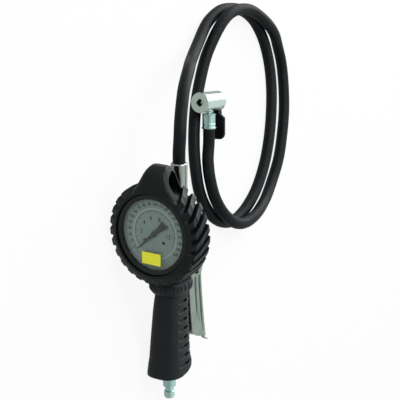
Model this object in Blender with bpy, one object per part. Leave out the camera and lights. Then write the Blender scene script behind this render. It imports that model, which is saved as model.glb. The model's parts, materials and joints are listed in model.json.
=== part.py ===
"""Hand tyre inflator with a dial gauge, lying on its side with its hose beside it.

The tool is built in its own frame: the gauge's axis is Y with the dial facing -Y,
the hanging loop is up +Z, the handle points down -Z and the trigger is at the back, +Y.
The empty "tool" then lays it on its -X side. The hose and its chuck lie on the same floor.
"""
import math

import bmesh
import bpy
from mathutils import Matrix, Vector
from mathutils.geometry import intersect_line_line

MM = 0.001
GAP = 0.3 * MM              # what seated pieces keep between them

# Gauge: the lens plane y = 0 is the back of the bezel's lip
CASE_RADIUS = 41.0 * MM
BEZEL_WALL = 1.3 * MM
BEZEL_RADIUS = CASE_RADIUS + GAP + BEZEL_WALL
BEZEL_DEPTH = 7.3 * MM
LIP_THICK = 1.2 * MM
LIP_WIDTH = 5.6 * MM
DIAL_RADIUS = BEZEL_RADIUS - LIP_WIDTH  # what the bezel leaves open
CASE_WALL = 1.4 * MM
CASE_BACK_THICK = 1.6 * MM
CASE_BACK = 24.0 * MM
LENS_THICK = 2.0 * MM
GASKET_THICK = 1.2 * MM
GASKET_WIDTH = 2.8 * MM
DIAL_FRONT = 5.5 * MM
DIAL_THICK = 0.8 * MM
DIAL_HOLE = 2.0 * MM
STICKER_WIDTH = 23.0 * MM
STICKER_HEIGHT = 12.5 * MM
STICKER_THICK = 0.3 * MM
STICKER_LOW = 25.5 * MM     # its centre under the gauge's axis

# Pointer and movement
POINTER_FRONT = 3.1 * MM
POINTER_THICK = 0.6 * MM
POINTER_HUB_RADIUS = 3.2 * MM
POINTER_HUB_THICK = 1.3 * MM
POINTER_LENGTH = 28.0 * MM
POINTER_TAIL = 18.0 * MM
POINTER_TAIL_WIDTH = 9.0 * MM
POINTER_ZERO = 222.0        # degrees from +X, seen from the front
POINTER_SWEEP = 270.0
GEAR_MODULE = 0.7 * MM
PINION_TEETH = 8
SECTOR_TEETH = 40           # of its full circle
SECTOR_CUT_TEETH = 9
TOOTH_SHARE = 0.6           # of half the pitch, the rest is backlash
PINION_THICK = 2.0 * MM
SECTOR_THICK = 1.2 * MM
PLATE_THICK = 1.0 * MM
PLATE_WIDTH = 28.0 * MM
PLATE_FRONT = 9.6 * MM
PLATE_SPACE = 5.6 * MM      # between the two plates
PLATE_OVER = 8.0 * MM       # above the pointer's axis
PLATE_UNDER = 21.0 * MM
ARBOR_RADIUS = 0.8 * MM
POST_RADIUS = 1.4 * MM
POST_INSET = 1.8 * MM
DIAL_SCREW_RADIUS = 0.9 * MM
DIAL_SCREW_HEAD = 1.7 * MM
DIAL_SCREW_X = 11.0 * MM
DIAL_SCREW_Z = -8.0 * MM
TAIL_RADIUS = 9.0 * MM
TAIL_ANGLE = 178.0
TUBE_RADIUS = 29.0 * MM     # bourdon tube's centre line
TUBE_WIDTH = 8.0 * MM
TUBE_THICK = 2.6 * MM
TUBE_CENTRE_Y = 16.0 * MM
TUBE_END_ANGLE = 188.0
TIP_LENGTH = 5.0 * MM
LINK_WIDTH = 2.0 * MM
LINK_THICK = 0.8 * MM
SOCKET_WIDTH = 15.0 * MM
SOCKET_TOP = -12.0 * MM
SOCKET_BOTTOM = -34.0 * MM
STEM_RADIUS = 6.0 * MM
STEM_BORE = 1.6 * MM
STEM_Z = -22.0 * MM
STEM_REACH = 10.0 * MM      # behind the case
STEM_BORE_DEPTH = 14.0 * MM

# Rubber boot
BOOT_FRONT = -3.2 * MM
BOOT_WALL = 4.6 * MM
BOOT_SHELL = BEZEL_RADIUS + GAP + BOOT_WALL
BOOT_LIP_RADIUS = BEZEL_RADIUS + 1.0 * MM
BOOT_BACK_WALL = 2.5 * MM
BOOT_BACK_LIP = 9.0 * MM    # how far the boot reaches in behind the case
BOOT_BACK_HOLE = CASE_RADIUS - BOOT_BACK_LIP
LUG_HEIGHT = 7.2 * MM
LUG_RADIUS = BOOT_SHELL + LUG_HEIGHT
LUG_PITCH = 13.0            # degrees
LUGS_A_SIDE = 11
LUG_TOP_HALF = 3.3          # degrees
LUG_BASE_HALF = 4.5
LUG_CLEAR_BELOW = 1.5       # degrees of plain rim on each side of the lowest point
LUG_LOWEST = LUG_BASE_HALF + LUG_CLEAR_BELOW - 90.0
LUG_SWEEP = 18.5            # degrees that a lug climbs on its way to the back
RIM_CLOSED = (8.0, 34.0)    # degrees below the middle over which the slots close up at the boot's front
RIM_LUG_SHARE = 0.8         # how high the closed rim stands beside the lugs
HOOD_RISE = 22.5 * MM       # the hanging loop's top above the boot's shell
HOOD_WALL = 5.0 * MM
HOOD_FRONT_WALL = 8.2 * MM
HOOD_HALF_WIDTH = 16.4 * MM  # near the middle of its free part

# Everything below the boot is measured from the grip's top
GRIP_TOP = -(LUG_RADIUS + 0.9 * MM)

# Valve body
BODY_WIDTH = 30.0 * MM
BODY_TOP = 30.0 * MM
BODY_BOTTOM = GRIP_TOP + GAP
BODY_BACK = 58.0 * MM
BODY_BEVEL = 3.0 * MM
PAD_RADIUS = BOOT_BACK_HOLE - 1.5 * MM
VALVE_Z = GRIP_TOP - 14.4 * MM
HOUSING_WIDTH = 20.0 * MM
HOUSING_FRONT = 20.5 * MM
HOUSING_BACK = 49.3 * MM
HOUSING_BOTTOM = VALVE_Z - 8.5 * MM
BOSS_RADIUS = 7.5 * MM
BOSS_BACK = 51.8 * MM
CHAMBER_RADIUS = 5.0 * MM
CHAMBER_FRONT = 23.0 * MM
AIR_RADIUS = 2.2 * MM
OUTLET_Y = 48.5 * MM
FITTING_BORE = 5.3 * MM
FITTING_BORE_DEPTH = 18.0 * MM

# Valve
STEM_ROD_RADIUS = 2.0 * MM
POPPET_RADIUS = 4.2 * MM
POPPET_FRONT = 27.0 * MM
POPPET_THICK = 3.0 * MM
SEAT_THICK = 3.0 * MM
GLAND_LENGTH = 5.0 * MM
GLAND_RADIUS = 6.2 * MM
GLAND_SPIGOT = 3.0 * MM
RING_WIRE = 1.1 * MM        # O-ring's section radius

# Trigger
PIVOT_Y = 76.0 * MM
PIVOT_Z = GRIP_TOP + 5.1 * MM
EAR_RADIUS = 7.5 * MM
LEVER_WIDTH = 9.0 * MM
LEVER_SHEET = 1.4 * MM
EAR_WIDTH = LEVER_WIDTH - 2 * LEVER_SHEET - 0.8 * MM
TONGUE_WIDTH = 4.4 * MM
WINDOW_FRONT = 73.2 * MM
WINDOW_BACK = 79.4 * MM
WINDOW_LOW = GRIP_TOP - 6.4 * MM
WINDOW_HIGH = GRIP_TOP - 0.4 * MM
PIN_RADIUS = 2.0 * MM
PIN_HEAD_RADIUS = 3.1 * MM
PIN_HEAD_THICK = 1.2 * MM
PIN_PROUD = 1.6 * MM
CLIP_WIRE = 0.7 * MM
# Back of the web from its top to the curled tip: y, and height from the grip's top
LEVER_BACK = [(82.0, 14.4), (87.5, 12.6), (90.3, 8.8), (89.6, 4.1), (86.6, -1.9), (84.4, -7.9), (84.9, -16.4),
              (86.4, -30.4), (88.8, -48.4), (91.0, -64.4), (93.0, -76.4), (94.2, -81.9), (97.5, -86.4),
              (102.3, -89.0)]
# Front edge of the flanges from their round lower end to the head
LEVER_FRONT = [(88.9, -80.2), (83.9, -79.8), (78.9, -78.5), (74.0, -76.1), (70.0, -72.7), (67.5, -67.9),
               (64.8, -48.0), (62.3, -24.7), (61.4, -14.4), (63.2, -7.9), (67.2, -3.4), (69.8, 0.6),
               (70.3, 5.6), (72.3, 10.1), (77.0, 13.1)]

# Handle
HANDLE_Y = 30.5 * MM
HANDLE_RADIUS = 11.0 * MM
HANDLE_BORE = 6.3 * MM
HANDLE_BOTTOM = GRIP_TOP - 97.9 * MM
SLEEVE_LIP = 8.0 * MM
GRIP_SQUARENESS = 2.7
GRIP_SIDES = 28
GROOVE_PITCH = 9.9 * MM
GROOVE_FIRST = GRIP_TOP - 23.4 * MM
GROOVE_COUNT = 8
GROOVE_WIDTH = 4.2 * MM
GROOVE_DEPTH = 2.0 * MM
GROOVE_SLANT = 0.14
PANEL_ANGLE = 62.0          # degrees each side of the front that stay smooth
SKIRT_RISE = 12.5 * MM      # how far the rim climbs towards the back
SKIRT_LEVEL_Y = 20.0 * MM   # where it starts to climb
SKIRT_BLEND = 25.0 * MM     # height over which the sections follow it
# Height from the grip's top, half width, half depth and centre of its section
GRIP_SECTIONS = [(0.0, 19.0, 21.0, 33.5), (-2.4, 20.0, 22.0, 33.5), (-10.4, 19.6, 21.8, 33.8),
                 (-13.9, 17.0, 20.0, 34.5), (-16.4, 15.0, 18.0, 35.0), (-24.4, 15.5, 18.6, 34.0),
                 (-34.4, 16.0, 19.2, 33.0), (-44.4, 16.5, 19.8, 32.6), (-64.4, 17.5, 21.0, 31.8),
                 (-84.4, 18.5, 22.2, 31.4), (-92.4, 19.3, 23.2, 31.0), (-100.4, 20.0, 24.5, 31.0),
                 (-104.1, 20.0, 24.5, 31.0)]

# Inlet
NIPPLE_SHANK = 6.0 * MM
NIPPLE_SHANK_LENGTH = 15.0 * MM
NIPPLE_BORE = 3.0 * MM
NIPPLE_COLLAR = 6.8 * MM
NIPPLE_FLANGE = 7.7 * MM
NIPPLE_END = HANDLE_BOTTOM - 35.1 * MM
WASHER_THICK = 1.4 * MM

# Hose and its end fittings
HOSE_DIAMETER = 13.4 * MM
HOSE_STEPS = 64
FERRULE_RADIUS = 8.7 * MM
FERRULE_LENGTH = 31.0 * MM
FERRULE_BOTTOM = BODY_TOP + 4.3 * MM
BARB_RADIUS = 3.4 * MM
COLLAR_RADIUS = 5.6 * MM
CHUCK_RADIUS = 11.5 * MM
CHUCK_LENGTH = 43.0 * MM
CHUCK_BORE = 7.0 * MM
CHUCK_FACE_THICK = 2.0 * MM
CHUCK_HOLE = 7.4 * MM       # across the flats of its square hole
CHUCK_BORE_DEPTH = 24.0 * MM
CHUCK_SEAL_THICK = 4.0 * MM
CHUCK_SEAL_BORE = 4.2 * MM
CHUCK_FERRULE_RADIUS = 7.4 * MM
CHUCK_FERRULE_LENGTH = 18.7 * MM
CHUCK_NECK = 5.0 * MM
PUSH_PIN_RADIUS = 1.3 * MM
PUSH_PIN_FLANGE = 4.6 * MM
PUSH_PIN_LENGTH = 13.0 * MM
CLIP_SLOT_WIDTH = 13.0 * MM
CLIP_NECK = 12.2 * MM
CLIP_WIDTH = 21.0 * MM
CLIP_THICK = 3.4 * MM
CLIP_X = 16.5 * MM          # near face of the thumb tab
CLIP_TOP = -16.0 * MM
CLIP_BOTTOM = -43.5 * MM
CLIP_PIVOT_X = 15.0 * MM
CLIP_PIVOT_Y = -6.5 * MM
CLIP_PIN_RADIUS = 1.5 * MM

# Where the chuck lies, from the point of the floor under the gauge's centre
CHUCK_PLACE = (186.3, 108.9, 25.5)
CHUCK_TURN = (8.0, 5.8, -5.8)   # degrees about its X, Y and Z
# The hose's own points on the floor, chosen by eye, in millimetres from the same point
HOSE_ROUTE = [
    (50, 80.5, 72.5), (52, 92, 74.5), (57, 104.5, 74.5), (66, 118.5, 73), (84.5, 136.5, 67.5),
    (115.5, 153, 56), (158, 158.5, 31), (201, 174.5, 15), (238.5, 194.5, 7.5), (269, 205, 6.8),
    (292, 205.5, 6.8), (312, 202, 6.8), (330, 194, 6.8), (344.5, 180.5, 6.8), (355, 159.5, 6.8),
    (358.5, 133, 6.8), (355, 104.5, 6.8), (345.5, 76, 6.8), (331.5, 47.5, 6.8), (313.5, 21, 6.8),
    (292.5, -1, 6.8), (269, -18.5, 6.8), (239, -32, 6.8), (212, -35.5, 6.8), (187.5, -27.5, 6.8),
    (170.5, -10.5, 6.9), (161.5, 12, 7.6), (162, 37, 7.8), (167, 59, 7.1), (175.5, 83, 6.8),
    (187.5, 108.5, 6.9), (203, 133.5, 7.8), (217.5, 156, 10.6), (232, 174.5, 15.2), (249, 190.5, 19.5),
    (268.5, 200, 21.1), (291, 202.5, 21.4), (316, 198, 22), (342, 182, 22.2), (362.5, 165.5, 18.6),
    (377.5, 147.5, 11.7), (385.5, 125, 7.9), (383, 97, 6.8), (373.5, 67, 6.8), (358.5, 38.5, 6.8),
    (341.5, 13.5, 6.8), (317.5, -8.5, 7.5), (287, -26, 12), (250.5, -36, 19.4), (222, -39.5, 21.1),
    (199.5, -34, 21.3), (181.5, -18.5, 20.9), (171.5, 2, 20), (170.5, 25.5, 18.8), (174.5, 44, 17.8),
    (178.5, 54, 17.8),
]

# ---------------------------------------------------------------- materials


def new_material(name, colour, roughness, metallic=0.0, alpha=1.0):
    material = bpy.data.materials.new(name)
    material.use_nodes = True
    shader = material.node_tree.nodes["Principled BSDF"]
    shader.inputs["Base Color"].default_value = (*colour, 1.0)
    shader.inputs["Roughness"].default_value = roughness
    shader.inputs["Metallic"].default_value = metallic
    shader.inputs["Alpha"].default_value = alpha
    material.diffuse_color = (*colour, alpha)
    return material


LOOKS = {
    "boot_rubber": ((0.020, 0.024, 0.024), 0.55, 0.0),
    "grip_rubber": ((0.024, 0.028, 0.029), 0.50, 0.0),
    "black_gloss": ((0.010, 0.011, 0.011), 0.20, 0.0),
    "black_plastic": ((0.015, 0.015, 0.016), 0.45, 0.0),
    "hose_rubber": ((0.016, 0.022, 0.022), 0.60, 0.0),
    "seal_rubber": ((0.012, 0.012, 0.012), 0.70, 0.0),
    "dial_grey": ((0.24, 0.29, 0.26), 0.60, 0.0),
    "pointer_black": ((0.03, 0.035, 0.032), 0.40, 0.0),
    "sticker_yellow": ((0.90, 0.88, 0.05), 0.50, 0.0),
    "lever_steel": ((0.52, 0.58, 0.54), 0.35, 1.0),
    "nickel": ((0.72, 0.74, 0.70), 0.18, 1.0),
    "zinc": ((0.55, 0.66, 0.64), 0.35, 1.0),
    "satin_aluminium": ((0.86, 0.89, 0.87), 0.30, 1.0),
    "cast_aluminium": ((0.45, 0.52, 0.50), 0.45, 1.0),
    "brass": ((0.62, 0.50, 0.24), 0.35, 1.0),
    "case_black": ((0.02, 0.02, 0.02), 0.40, 0.0),
}


def look(name):
    """A new material of the named look, so that each piece has its own."""
    colour, roughness, metallic = LOOKS[name]
    return new_material(name, colour, roughness, metallic)


# ---------------------------------------------------------------- building blocks


def add_empty(name, parent=None):
    empty = bpy.data.objects.new(name, None)
    empty.empty_display_size = 0.02
    bpy.context.collection.objects.link(empty)
    empty.parent = parent
    return empty


def add_object(name, bm, material, parent, place=(0.0, 0.0, 0.0), angle=35.0):
    """Turn a bmesh into an object with its origin at the given place of its parent."""
    bmesh.ops.remove_doubles(bm, verts=bm.verts, dist=1e-7)
    bmesh.ops.recalc_face_normals(bm, faces=bm.faces)
    mesh = bpy.data.meshes.new(name)
    bm.to_mesh(mesh)
    bm.free()
    mesh.transform(Matrix.Translation(-Vector(place)))
    obj = bpy.data.objects.new(name, mesh)
    bpy.context.collection.objects.link(obj)
    obj.parent = parent
    obj.location = place
    if material is not None:
        mesh.materials.append(material)
    mesh.shade_smooth()
    mesh.set_sharp_from_angle(angle=math.radians(angle))
    return obj


AXIS_TURNS = {
    "X": Matrix(((0, 0, 1), (1, 0, 0), (0, 1, 0))).to_4x4(),
    "Y": Matrix(((0, 1, 0), (0, 0, 1), (1, 0, 0))).to_4x4(),
    "Z": Matrix.Identity(4),
}


def turned(profile, axis="Y", centre=(0.0, 0.0, 0.0), segments=48, closed=True):
    """Spin a profile of (radius, height) pairs about an axis through the centre."""
    bm = bmesh.new()
    verts = [bm.verts.new((radius, 0.0, height)) for radius, height in profile]
    edges = [bm.edges.new(pair) for pair in zip(verts, verts[1:])]
    if closed:
        edges.append(bm.edges.new((verts[-1], verts[0])))
    bmesh.ops.spin(bm, geom=verts + edges, axis=(0, 0, 1), cent=(0, 0, 0),
                   angle=math.tau, steps=segments, use_merge=True)
    bmesh.ops.remove_doubles(bm, verts=bm.verts, dist=1e-7)
    bmesh.ops.recalc_face_normals(bm, faces=bm.faces)
    bmesh.ops.transform(bm, matrix=Matrix.Translation(centre) @ AXIS_TURNS[axis], verts=bm.verts)
    return bm


def pipe(inner, outer, low, high, axis="Y", centre=(0.0, 0.0, 0.0), segments=32):
    return turned([(inner, low), (outer, low), (outer, high), (inner, high)], axis, centre, segments)


def prism(outline, low, high, axis="Y"):
    """Extrude a flat outline along an axis: (y, z) points for X, (z, x) for Y, (x, y) for Z."""
    bm = bmesh.new()
    face = bm.faces.new([bm.verts.new((u, v, low)) for u, v in outline])
    grown = bmesh.ops.extrude_face_region(bm, geom=[face])
    moved = [item for item in grown["geom"] if isinstance(item, bmesh.types.BMVert)]
    bmesh.ops.translate(bm, verts=moved, vec=(0.0, 0.0, high - low))
    bmesh.ops.transform(bm, matrix=AXIS_TURNS[axis], verts=bm.verts)
    return bm


def rod(radius, low, high, axis="Y", centre=(0.0, 0.0, 0.0), segments=24):
    # Turned a third of a step, so that a Boolean doesn't meet corners in line with a neighbour's
    angles = [math.tau * (k + 1 / 3) / segments for k in range(segments)]
    bm = prism([(radius * math.cos(a), radius * math.sin(a)) for a in angles], low, high, axis)
    bmesh.ops.translate(bm, verts=bm.verts, vec=centre)
    return bm


def block(low, high, bevel=0.0, segments=3):
    """A box between two corners, with its edges rounded."""
    bm = bmesh.new()
    bmesh.ops.create_cube(bm, size=1.0)
    size = Vector(high) - Vector(low)
    middle = (Vector(high) + Vector(low)) / 2
    bmesh.ops.transform(bm, matrix=Matrix.Translation(middle) @ Matrix.Diagonal((*size, 1.0)), verts=bm.verts)
    if bevel > 0.0:
        bmesh.ops.bevel(bm, geom=bm.edges[:], offset=bevel, segments=segments, profile=0.5, affect="EDGES")
    return bm


def skin(rings, closed=False):
    """Faces between rings of equal counts, with flat ends unless the last ring meets the first."""
    bm = bmesh.new()
    rows = [[bm.verts.new(point) for point in ring] for ring in rings]
    pairs = list(zip(rows, rows[1:]))
    if closed:
        pairs.append((rows[-1], rows[0]))
    for near, far in pairs:
        for i in range(len(near)):
            j = (i + 1) % len(near)
            bm.faces.new((near[i], near[j], far[j], far[i]))
    if not closed:
        bm.faces.new(rows[0])
        bm.faces.new(rows[-1])
    return bm


def boolean(target, bm, operation, name):
    """Cut or join a hidden helper shape, which stays as a live modifier."""
    helper = add_object(name, bm, None, target.parent)
    helper.hide_render = True
    helper.display_type = "WIRE"
    modifier = target.modifiers.new(name, "BOOLEAN")
    modifier.operation = operation
    modifier.solver = "EXACT"
    modifier.object = helper
    return helper


def cut(target, bm, name):
    return boolean(target, bm, "DIFFERENCE", "cut_" + name)


def join(target, bm, name):
    return boolean(target, bm, "UNION", "add_" + name)


def table_row(rows, height):
    """Straight interpolation in rows that run down in height."""
    for upper, lower in zip(rows, rows[1:]):
        if height >= lower[0]:
            share = min(1.0, max(0.0, (upper[0] - height) / (upper[0] - lower[0])))
            return [a + (b - a) * share for a, b in zip(upper[1:], lower[1:])]
    return list(rows[-1][1:])


def superellipse(half_x, half_y, squareness, angle):
    """Point of a rounded rectangle at an angle."""
    c, s = math.cos(angle), math.sin(angle)
    return (math.copysign(abs(c) ** (2 / squareness), c) * half_x,
            math.copysign(abs(s) ** (2 / squareness), s) * half_y)


def smooth_step(value):
    value = min(1.0, max(0.0, value))
    return value * value * (3.0 - 2.0 * value)


def offset_line(points, distance):
    """An open line of (y, z) points moved sideways, to the right of its direction."""
    moved = []
    for i, (y, z) in enumerate(points):
        before = points[max(i - 1, 0)]
        after = points[min(i + 1, len(points) - 1)]
        along = Vector((after[0] - before[0], after[1] - before[1])).normalized()
        moved.append((y + along.y * distance, z - along.x * distance))
    return moved


def line_at(points, height):
    """The y of an open line of (y, z) points that runs down, at a height."""
    for (y0, z0), (y1, z1) in zip(points, points[1:]):
        if z1 <= height <= z0:
            return y0 + (y1 - y0) * (z0 - height) / (z0 - z1)
    return points[-1][0]


# ---------------------------------------------------------------- gauge


def make_case(tool):
    rim = LENS_THICK + GASKET_THICK + 3 * GAP
    inner = CASE_RADIUS - CASE_WALL
    floor = CASE_BACK - CASE_BACK_THICK
    solid = [(0.0, floor), (inner, floor), (inner, rim), (CASE_RADIUS, rim), (CASE_RADIUS, CASE_BACK),
             (0.0, CASE_BACK)]
    case = add_object("gauge_case", turned(solid, closed=False, segments=64), look("case_black"), tool)
    cut(case, rod(STEM_RADIUS + GAP, floor - MM, CASE_BACK + MM, centre=(0, 0, STEM_Z)), "case_stem_hole")


def make_bezel(tool):
    inner = CASE_RADIUS + GAP
    outer = BEZEL_RADIUS
    edge = 0.7 * LIP_THICK
    profile = [(DIAL_RADIUS, -edge / 2), (DIAL_RADIUS + edge, -LIP_THICK), (outer - edge, -LIP_THICK),
               (outer, -LIP_THICK + edge), (outer, BEZEL_DEPTH), (inner, BEZEL_DEPTH), (inner, 0.0), (DIAL_RADIUS, 0.0)]
    add_object("bezel_ring", turned(profile, segments=64), look("black_gloss"), tool)


def make_lens(tool):
    add_object("gauge_lens", rod(CASE_RADIUS, GAP, GAP + LENS_THICK, segments=64),
               new_material("clear_lens", (0.9, 0.95, 0.93), 0.05, 0.0, 0.35), tool)
    low = LENS_THICK + 2 * GAP
    add_object("lens_gasket", pipe(CASE_RADIUS - GASKET_WIDTH, CASE_RADIUS, low, low + GASKET_THICK, segments=48),
               look("seal_rubber"), tool)


def make_dial(tool):
    inner = CASE_RADIUS - CASE_WALL - GAP
    dial = add_object("dial_plate", pipe(DIAL_HOLE, inner, DIAL_FRONT, DIAL_FRONT + DIAL_THICK, segments=64),
                      look("dial_grey"), tool)
    for side, name in ((-1, "left"), (1, "right")):
        place = (side * DIAL_SCREW_X, 0.0, DIAL_SCREW_Z)
        cut(dial, rod(DIAL_SCREW_RADIUS + GAP, DIAL_FRONT - MM, DIAL_FRONT + DIAL_THICK + MM,
                      centre=place, segments=16), "dial_hole_" + name)
        front = DIAL_FRONT - GAP - 0.7 * MM
        profile = [(0.0, front), (DIAL_SCREW_HEAD - 0.3 * MM, front), (DIAL_SCREW_HEAD, front + 0.3 * MM),
                   (DIAL_SCREW_HEAD, DIAL_FRONT - GAP), (DIAL_SCREW_RADIUS, DIAL_FRONT - GAP),
                   (DIAL_SCREW_RADIUS, PLATE_FRONT - GAP), (0.0, PLATE_FRONT - GAP)]
        add_object("dial_screw_" + name, turned(profile, centre=place, segments=16, closed=False), look("brass"), tool)
    half = Vector((STICKER_WIDTH / 2, 0.0, STICKER_HEIGHT / 2))
    centre = Vector((-1.0 * MM, 0.0, -STICKER_LOW))
    low, high = centre - half, centre + half
    low.y, high.y = -STICKER_THICK, 0.0
    add_object("lens_sticker", block(low, high), look("sticker_yellow"), tool)


def gear_outline(teeth, kept, first_angle):
    """Thin straight-sided teeth about the origin, as (x, z) points, going down in angle."""
    pitch = teeth * GEAR_MODULE / 2
    tip, root = pitch + 0.9 * GEAR_MODULE, pitch - 1.2 * GEAR_MODULE
    half = math.pi / (2 * teeth) * TOOTH_SHARE
    points = []
    for k in range(kept):
        middle = first_angle - k * math.tau / teeth
        for radius, share in ((root, 1.5), (tip, 0.6), (tip, -0.6), (root, -1.5)):
            angle = middle + half * share
            points.append((radius * math.cos(angle), radius * math.sin(angle)))
    return points


def to_zx(points, centre=(0.0, 0.0)):
    """(x, z) points as the (z, x) pairs that a prism along Y takes."""
    return [(z + centre[1], x + centre[0]) for x, z in points]


def make_pointer(tool):
    """Needle, hub and pinion arbor that turn together about the gauge's axis."""
    angle = math.radians(POINTER_ZERO)
    along, side = Vector((math.cos(angle), math.sin(angle))), Vector((-math.sin(angle), math.cos(angle)))
    shape = [(POINTER_LENGTH, 0.25), (POINTER_LENGTH * 0.55, 1.1), (POINTER_HUB_RADIUS * 0.8, 1.9),
             (-POINTER_TAIL * 0.45, 2.4), (-POINTER_TAIL, POINTER_TAIL_WIDTH / MM / 2)]
    upper = [along * reach + side * width * MM for reach, width in shape]
    lower = [along * reach - side * width * MM for reach, width in reversed(shape)]
    back = POINTER_FRONT + POINTER_THICK
    hub_back = POINTER_FRONT - 0.2 * MM + POINTER_HUB_THICK
    needle = add_object("pointer", prism(to_zx([(p.x, p.y) for p in upper + lower]), POINTER_FRONT, back),
                        look("pointer_black"), tool)
    join(needle, rod(POINTER_HUB_RADIUS, POINTER_FRONT - 0.2 * MM, hub_back, segments=24), "pointer_hub")
    gear_low = PLATE_FRONT + PLATE_THICK + (PLATE_SPACE - PINION_THICK) / 2
    low = hub_back + GAP
    high = PLATE_FRONT + 2 * PLATE_THICK + PLATE_SPACE + GAP
    arbor = add_object("pinion_arbor", rod(ARBOR_RADIUS, low, high, segments=12), look("brass"), tool)
    first = math.pi / 2 + math.pi / PINION_TEETH + math.pi
    outline = gear_outline(PINION_TEETH, PINION_TEETH, first)
    join(arbor, prism(to_zx(outline), gear_low, gear_low + PINION_THICK), "pinion_teeth")
    return high


def sector_pivot():
    return -(PINION_TEETH + SECTOR_TEETH) * GEAR_MODULE / 2


def make_sector(tool, arbor_end):
    pivot = (0.0, sector_pivot())
    teeth = gear_outline(SECTOR_TEETH, SECTOR_CUT_TEETH, math.pi / 2 + math.tau / SECTOR_TEETH)
    tail = math.radians(TAIL_ANGLE)
    outline = list(teeth)
    for radius, angle in ((3.0 * MM, math.radians(-40)), (3.0 * MM, math.radians(-90)), (3.0 * MM, math.radians(-130)),
                          (TAIL_RADIUS + 1.4 * MM, tail + 0.13), (TAIL_RADIUS + 1.4 * MM, tail - 0.13),
                          (3.2 * MM, math.radians(140))):
        outline.append((radius * math.cos(angle), radius * math.sin(angle)))
    low = PLATE_FRONT + PLATE_THICK + (PLATE_SPACE - SECTOR_THICK) / 2
    place = (0.0, 0.0, pivot[1])
    sector = add_object("sector_gear", prism(to_zx(outline, pivot), low, low + SECTOR_THICK), look("brass"), tool, place)
    bore = ARBOR_RADIUS + GAP
    cut(sector, rod(bore, low - MM, low + SECTOR_THICK + MM, centre=place, segments=16), "sector_bore")
    front = PLATE_FRONT - GAP
    hub_low, hub_high = PLATE_FRONT + PLATE_THICK + GAP, low - GAP
    profile = [(0.0, front), (ARBOR_RADIUS, front), (ARBOR_RADIUS, hub_low), (2.0 * MM, hub_low),
               (2.0 * MM, hub_high), (ARBOR_RADIUS, hub_high), (ARBOR_RADIUS, arbor_end), (0.0, arbor_end)]
    add_object("sector_arbor", turned(profile, centre=place, segments=16, closed=False), look("brass"), tool, place)
    return low


def make_movement(tool):
    """Two brass plates on four posts, with the holes that the arbors turn in."""
    backs = PLATE_FRONT + PLATE_THICK + PLATE_SPACE
    for name, low in (("front", PLATE_FRONT), ("back", backs)):
        plate = add_object("movement_plate_" + name,
                           block((-PLATE_WIDTH / 2, low, -PLATE_UNDER), (PLATE_WIDTH / 2, low + PLATE_THICK, PLATE_OVER)),
                           look("brass"), tool)
        for label, height in (("pinion", 0.0), ("sector", sector_pivot())):
            cut(plate, rod(ARBOR_RADIUS + GAP, low - MM, low + PLATE_THICK + MM, centre=(0, 0, height), segments=16),
                name + "_plate_" + label)
    reach = PLATE_WIDTH / 2 - POST_INSET
    corners = [(-reach, -PLATE_UNDER + POST_INSET), (reach, -PLATE_UNDER + POST_INSET),
               (-reach, PLATE_OVER - POST_INSET), (reach, PLATE_OVER - POST_INSET)]
    for number, (x, z) in enumerate(corners, 1):
        add_object(f"movement_post_{number}", rod(POST_RADIUS, PLATE_FRONT + PLATE_THICK + GAP, backs - GAP,
                                                  centre=(x, 0, z), segments=12), look("brass"), tool)
    return backs + PLATE_THICK


def make_pressure_tube(tool, movement_back, sector_low):
    """C-shaped bourdon tube from the socket round to its tip, and the link to the sector's tail."""
    inner = TUBE_RADIUS - TUBE_THICK / 2
    start = -math.acos((SOCKET_WIDTH / 2 + GAP) / inner)
    end = math.radians(TUBE_END_ANGLE)
    steps = 22
    rings = []
    for i in range(steps + 1):
        angle = start + (end - start) * i / steps
        ring = []
        for k in range(10):
            across, wide = superellipse(TUBE_THICK / 2, TUBE_WIDTH / 2, 2.4, math.tau * k / 10)
            radius = TUBE_RADIUS + across
            ring.append((radius * math.cos(angle), TUBE_CENTRE_Y + wide, radius * math.sin(angle)))
        rings.append(ring)
    add_object("bourdon_tube", skin(rings), look("brass"), tool)
    cap_start = end + GAP / TUBE_RADIUS
    cap_end = cap_start + TIP_LENGTH / TUBE_RADIUS
    half = TUBE_THICK / 2 + 0.6 * MM
    corners = [(TUBE_RADIUS - half, cap_start), (TUBE_RADIUS + half, cap_start),
               (TUBE_RADIUS + half, cap_end), (TUBE_RADIUS - half, cap_end)]
    outline = [(radius * math.cos(angle), radius * math.sin(angle)) for radius, angle in corners]
    add_object("tube_tip", prism(to_zx(outline), TUBE_CENTRE_Y - TUBE_WIDTH / 2 + MM, TUBE_CENTRE_Y + TUBE_WIDTH / 2 - MM),
               look("brass"), tool)
    tail = math.radians(TAIL_ANGLE)
    near = Vector((TAIL_RADIUS * math.cos(tail), TAIL_RADIUS * math.sin(tail) + sector_pivot()))
    middle = (cap_start + cap_end) / 2
    far = Vector((math.cos(middle), math.sin(middle))) * (TUBE_RADIUS - half - GAP)
    along = (far - near).normalized()
    side = Vector((-along.y, along.x)) * LINK_WIDTH / 2
    corners = [near - along * MM - side, near - along * MM + side, far - along * MM + side,
               far - along * MM - side]
    low = sector_low + SECTOR_THICK + GAP
    add_object("link_rod", prism(to_zx([(p.x, p.y) for p in corners]), low, low + LINK_THICK), look("brass"), tool)
    floor = CASE_BACK - CASE_BACK_THICK
    half = SOCKET_WIDTH / 2
    socket = add_object("gauge_socket", block((-half, movement_back + GAP, SOCKET_BOTTOM),
                                              (half, floor - GAP, SOCKET_TOP), 0.8 * MM, 1), look("brass"), tool)
    reach = CASE_BACK + STEM_REACH
    join(socket, rod(STEM_RADIUS, floor - 2 * MM, reach, centre=(0, 0, STEM_Z)), "socket_stem")
    cut(socket, rod(STEM_BORE, reach - STEM_BORE_DEPTH, reach + MM, centre=(0, 0, STEM_Z), segments=12), "socket_bore")


# ---------------------------------------------------------------- boot


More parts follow.
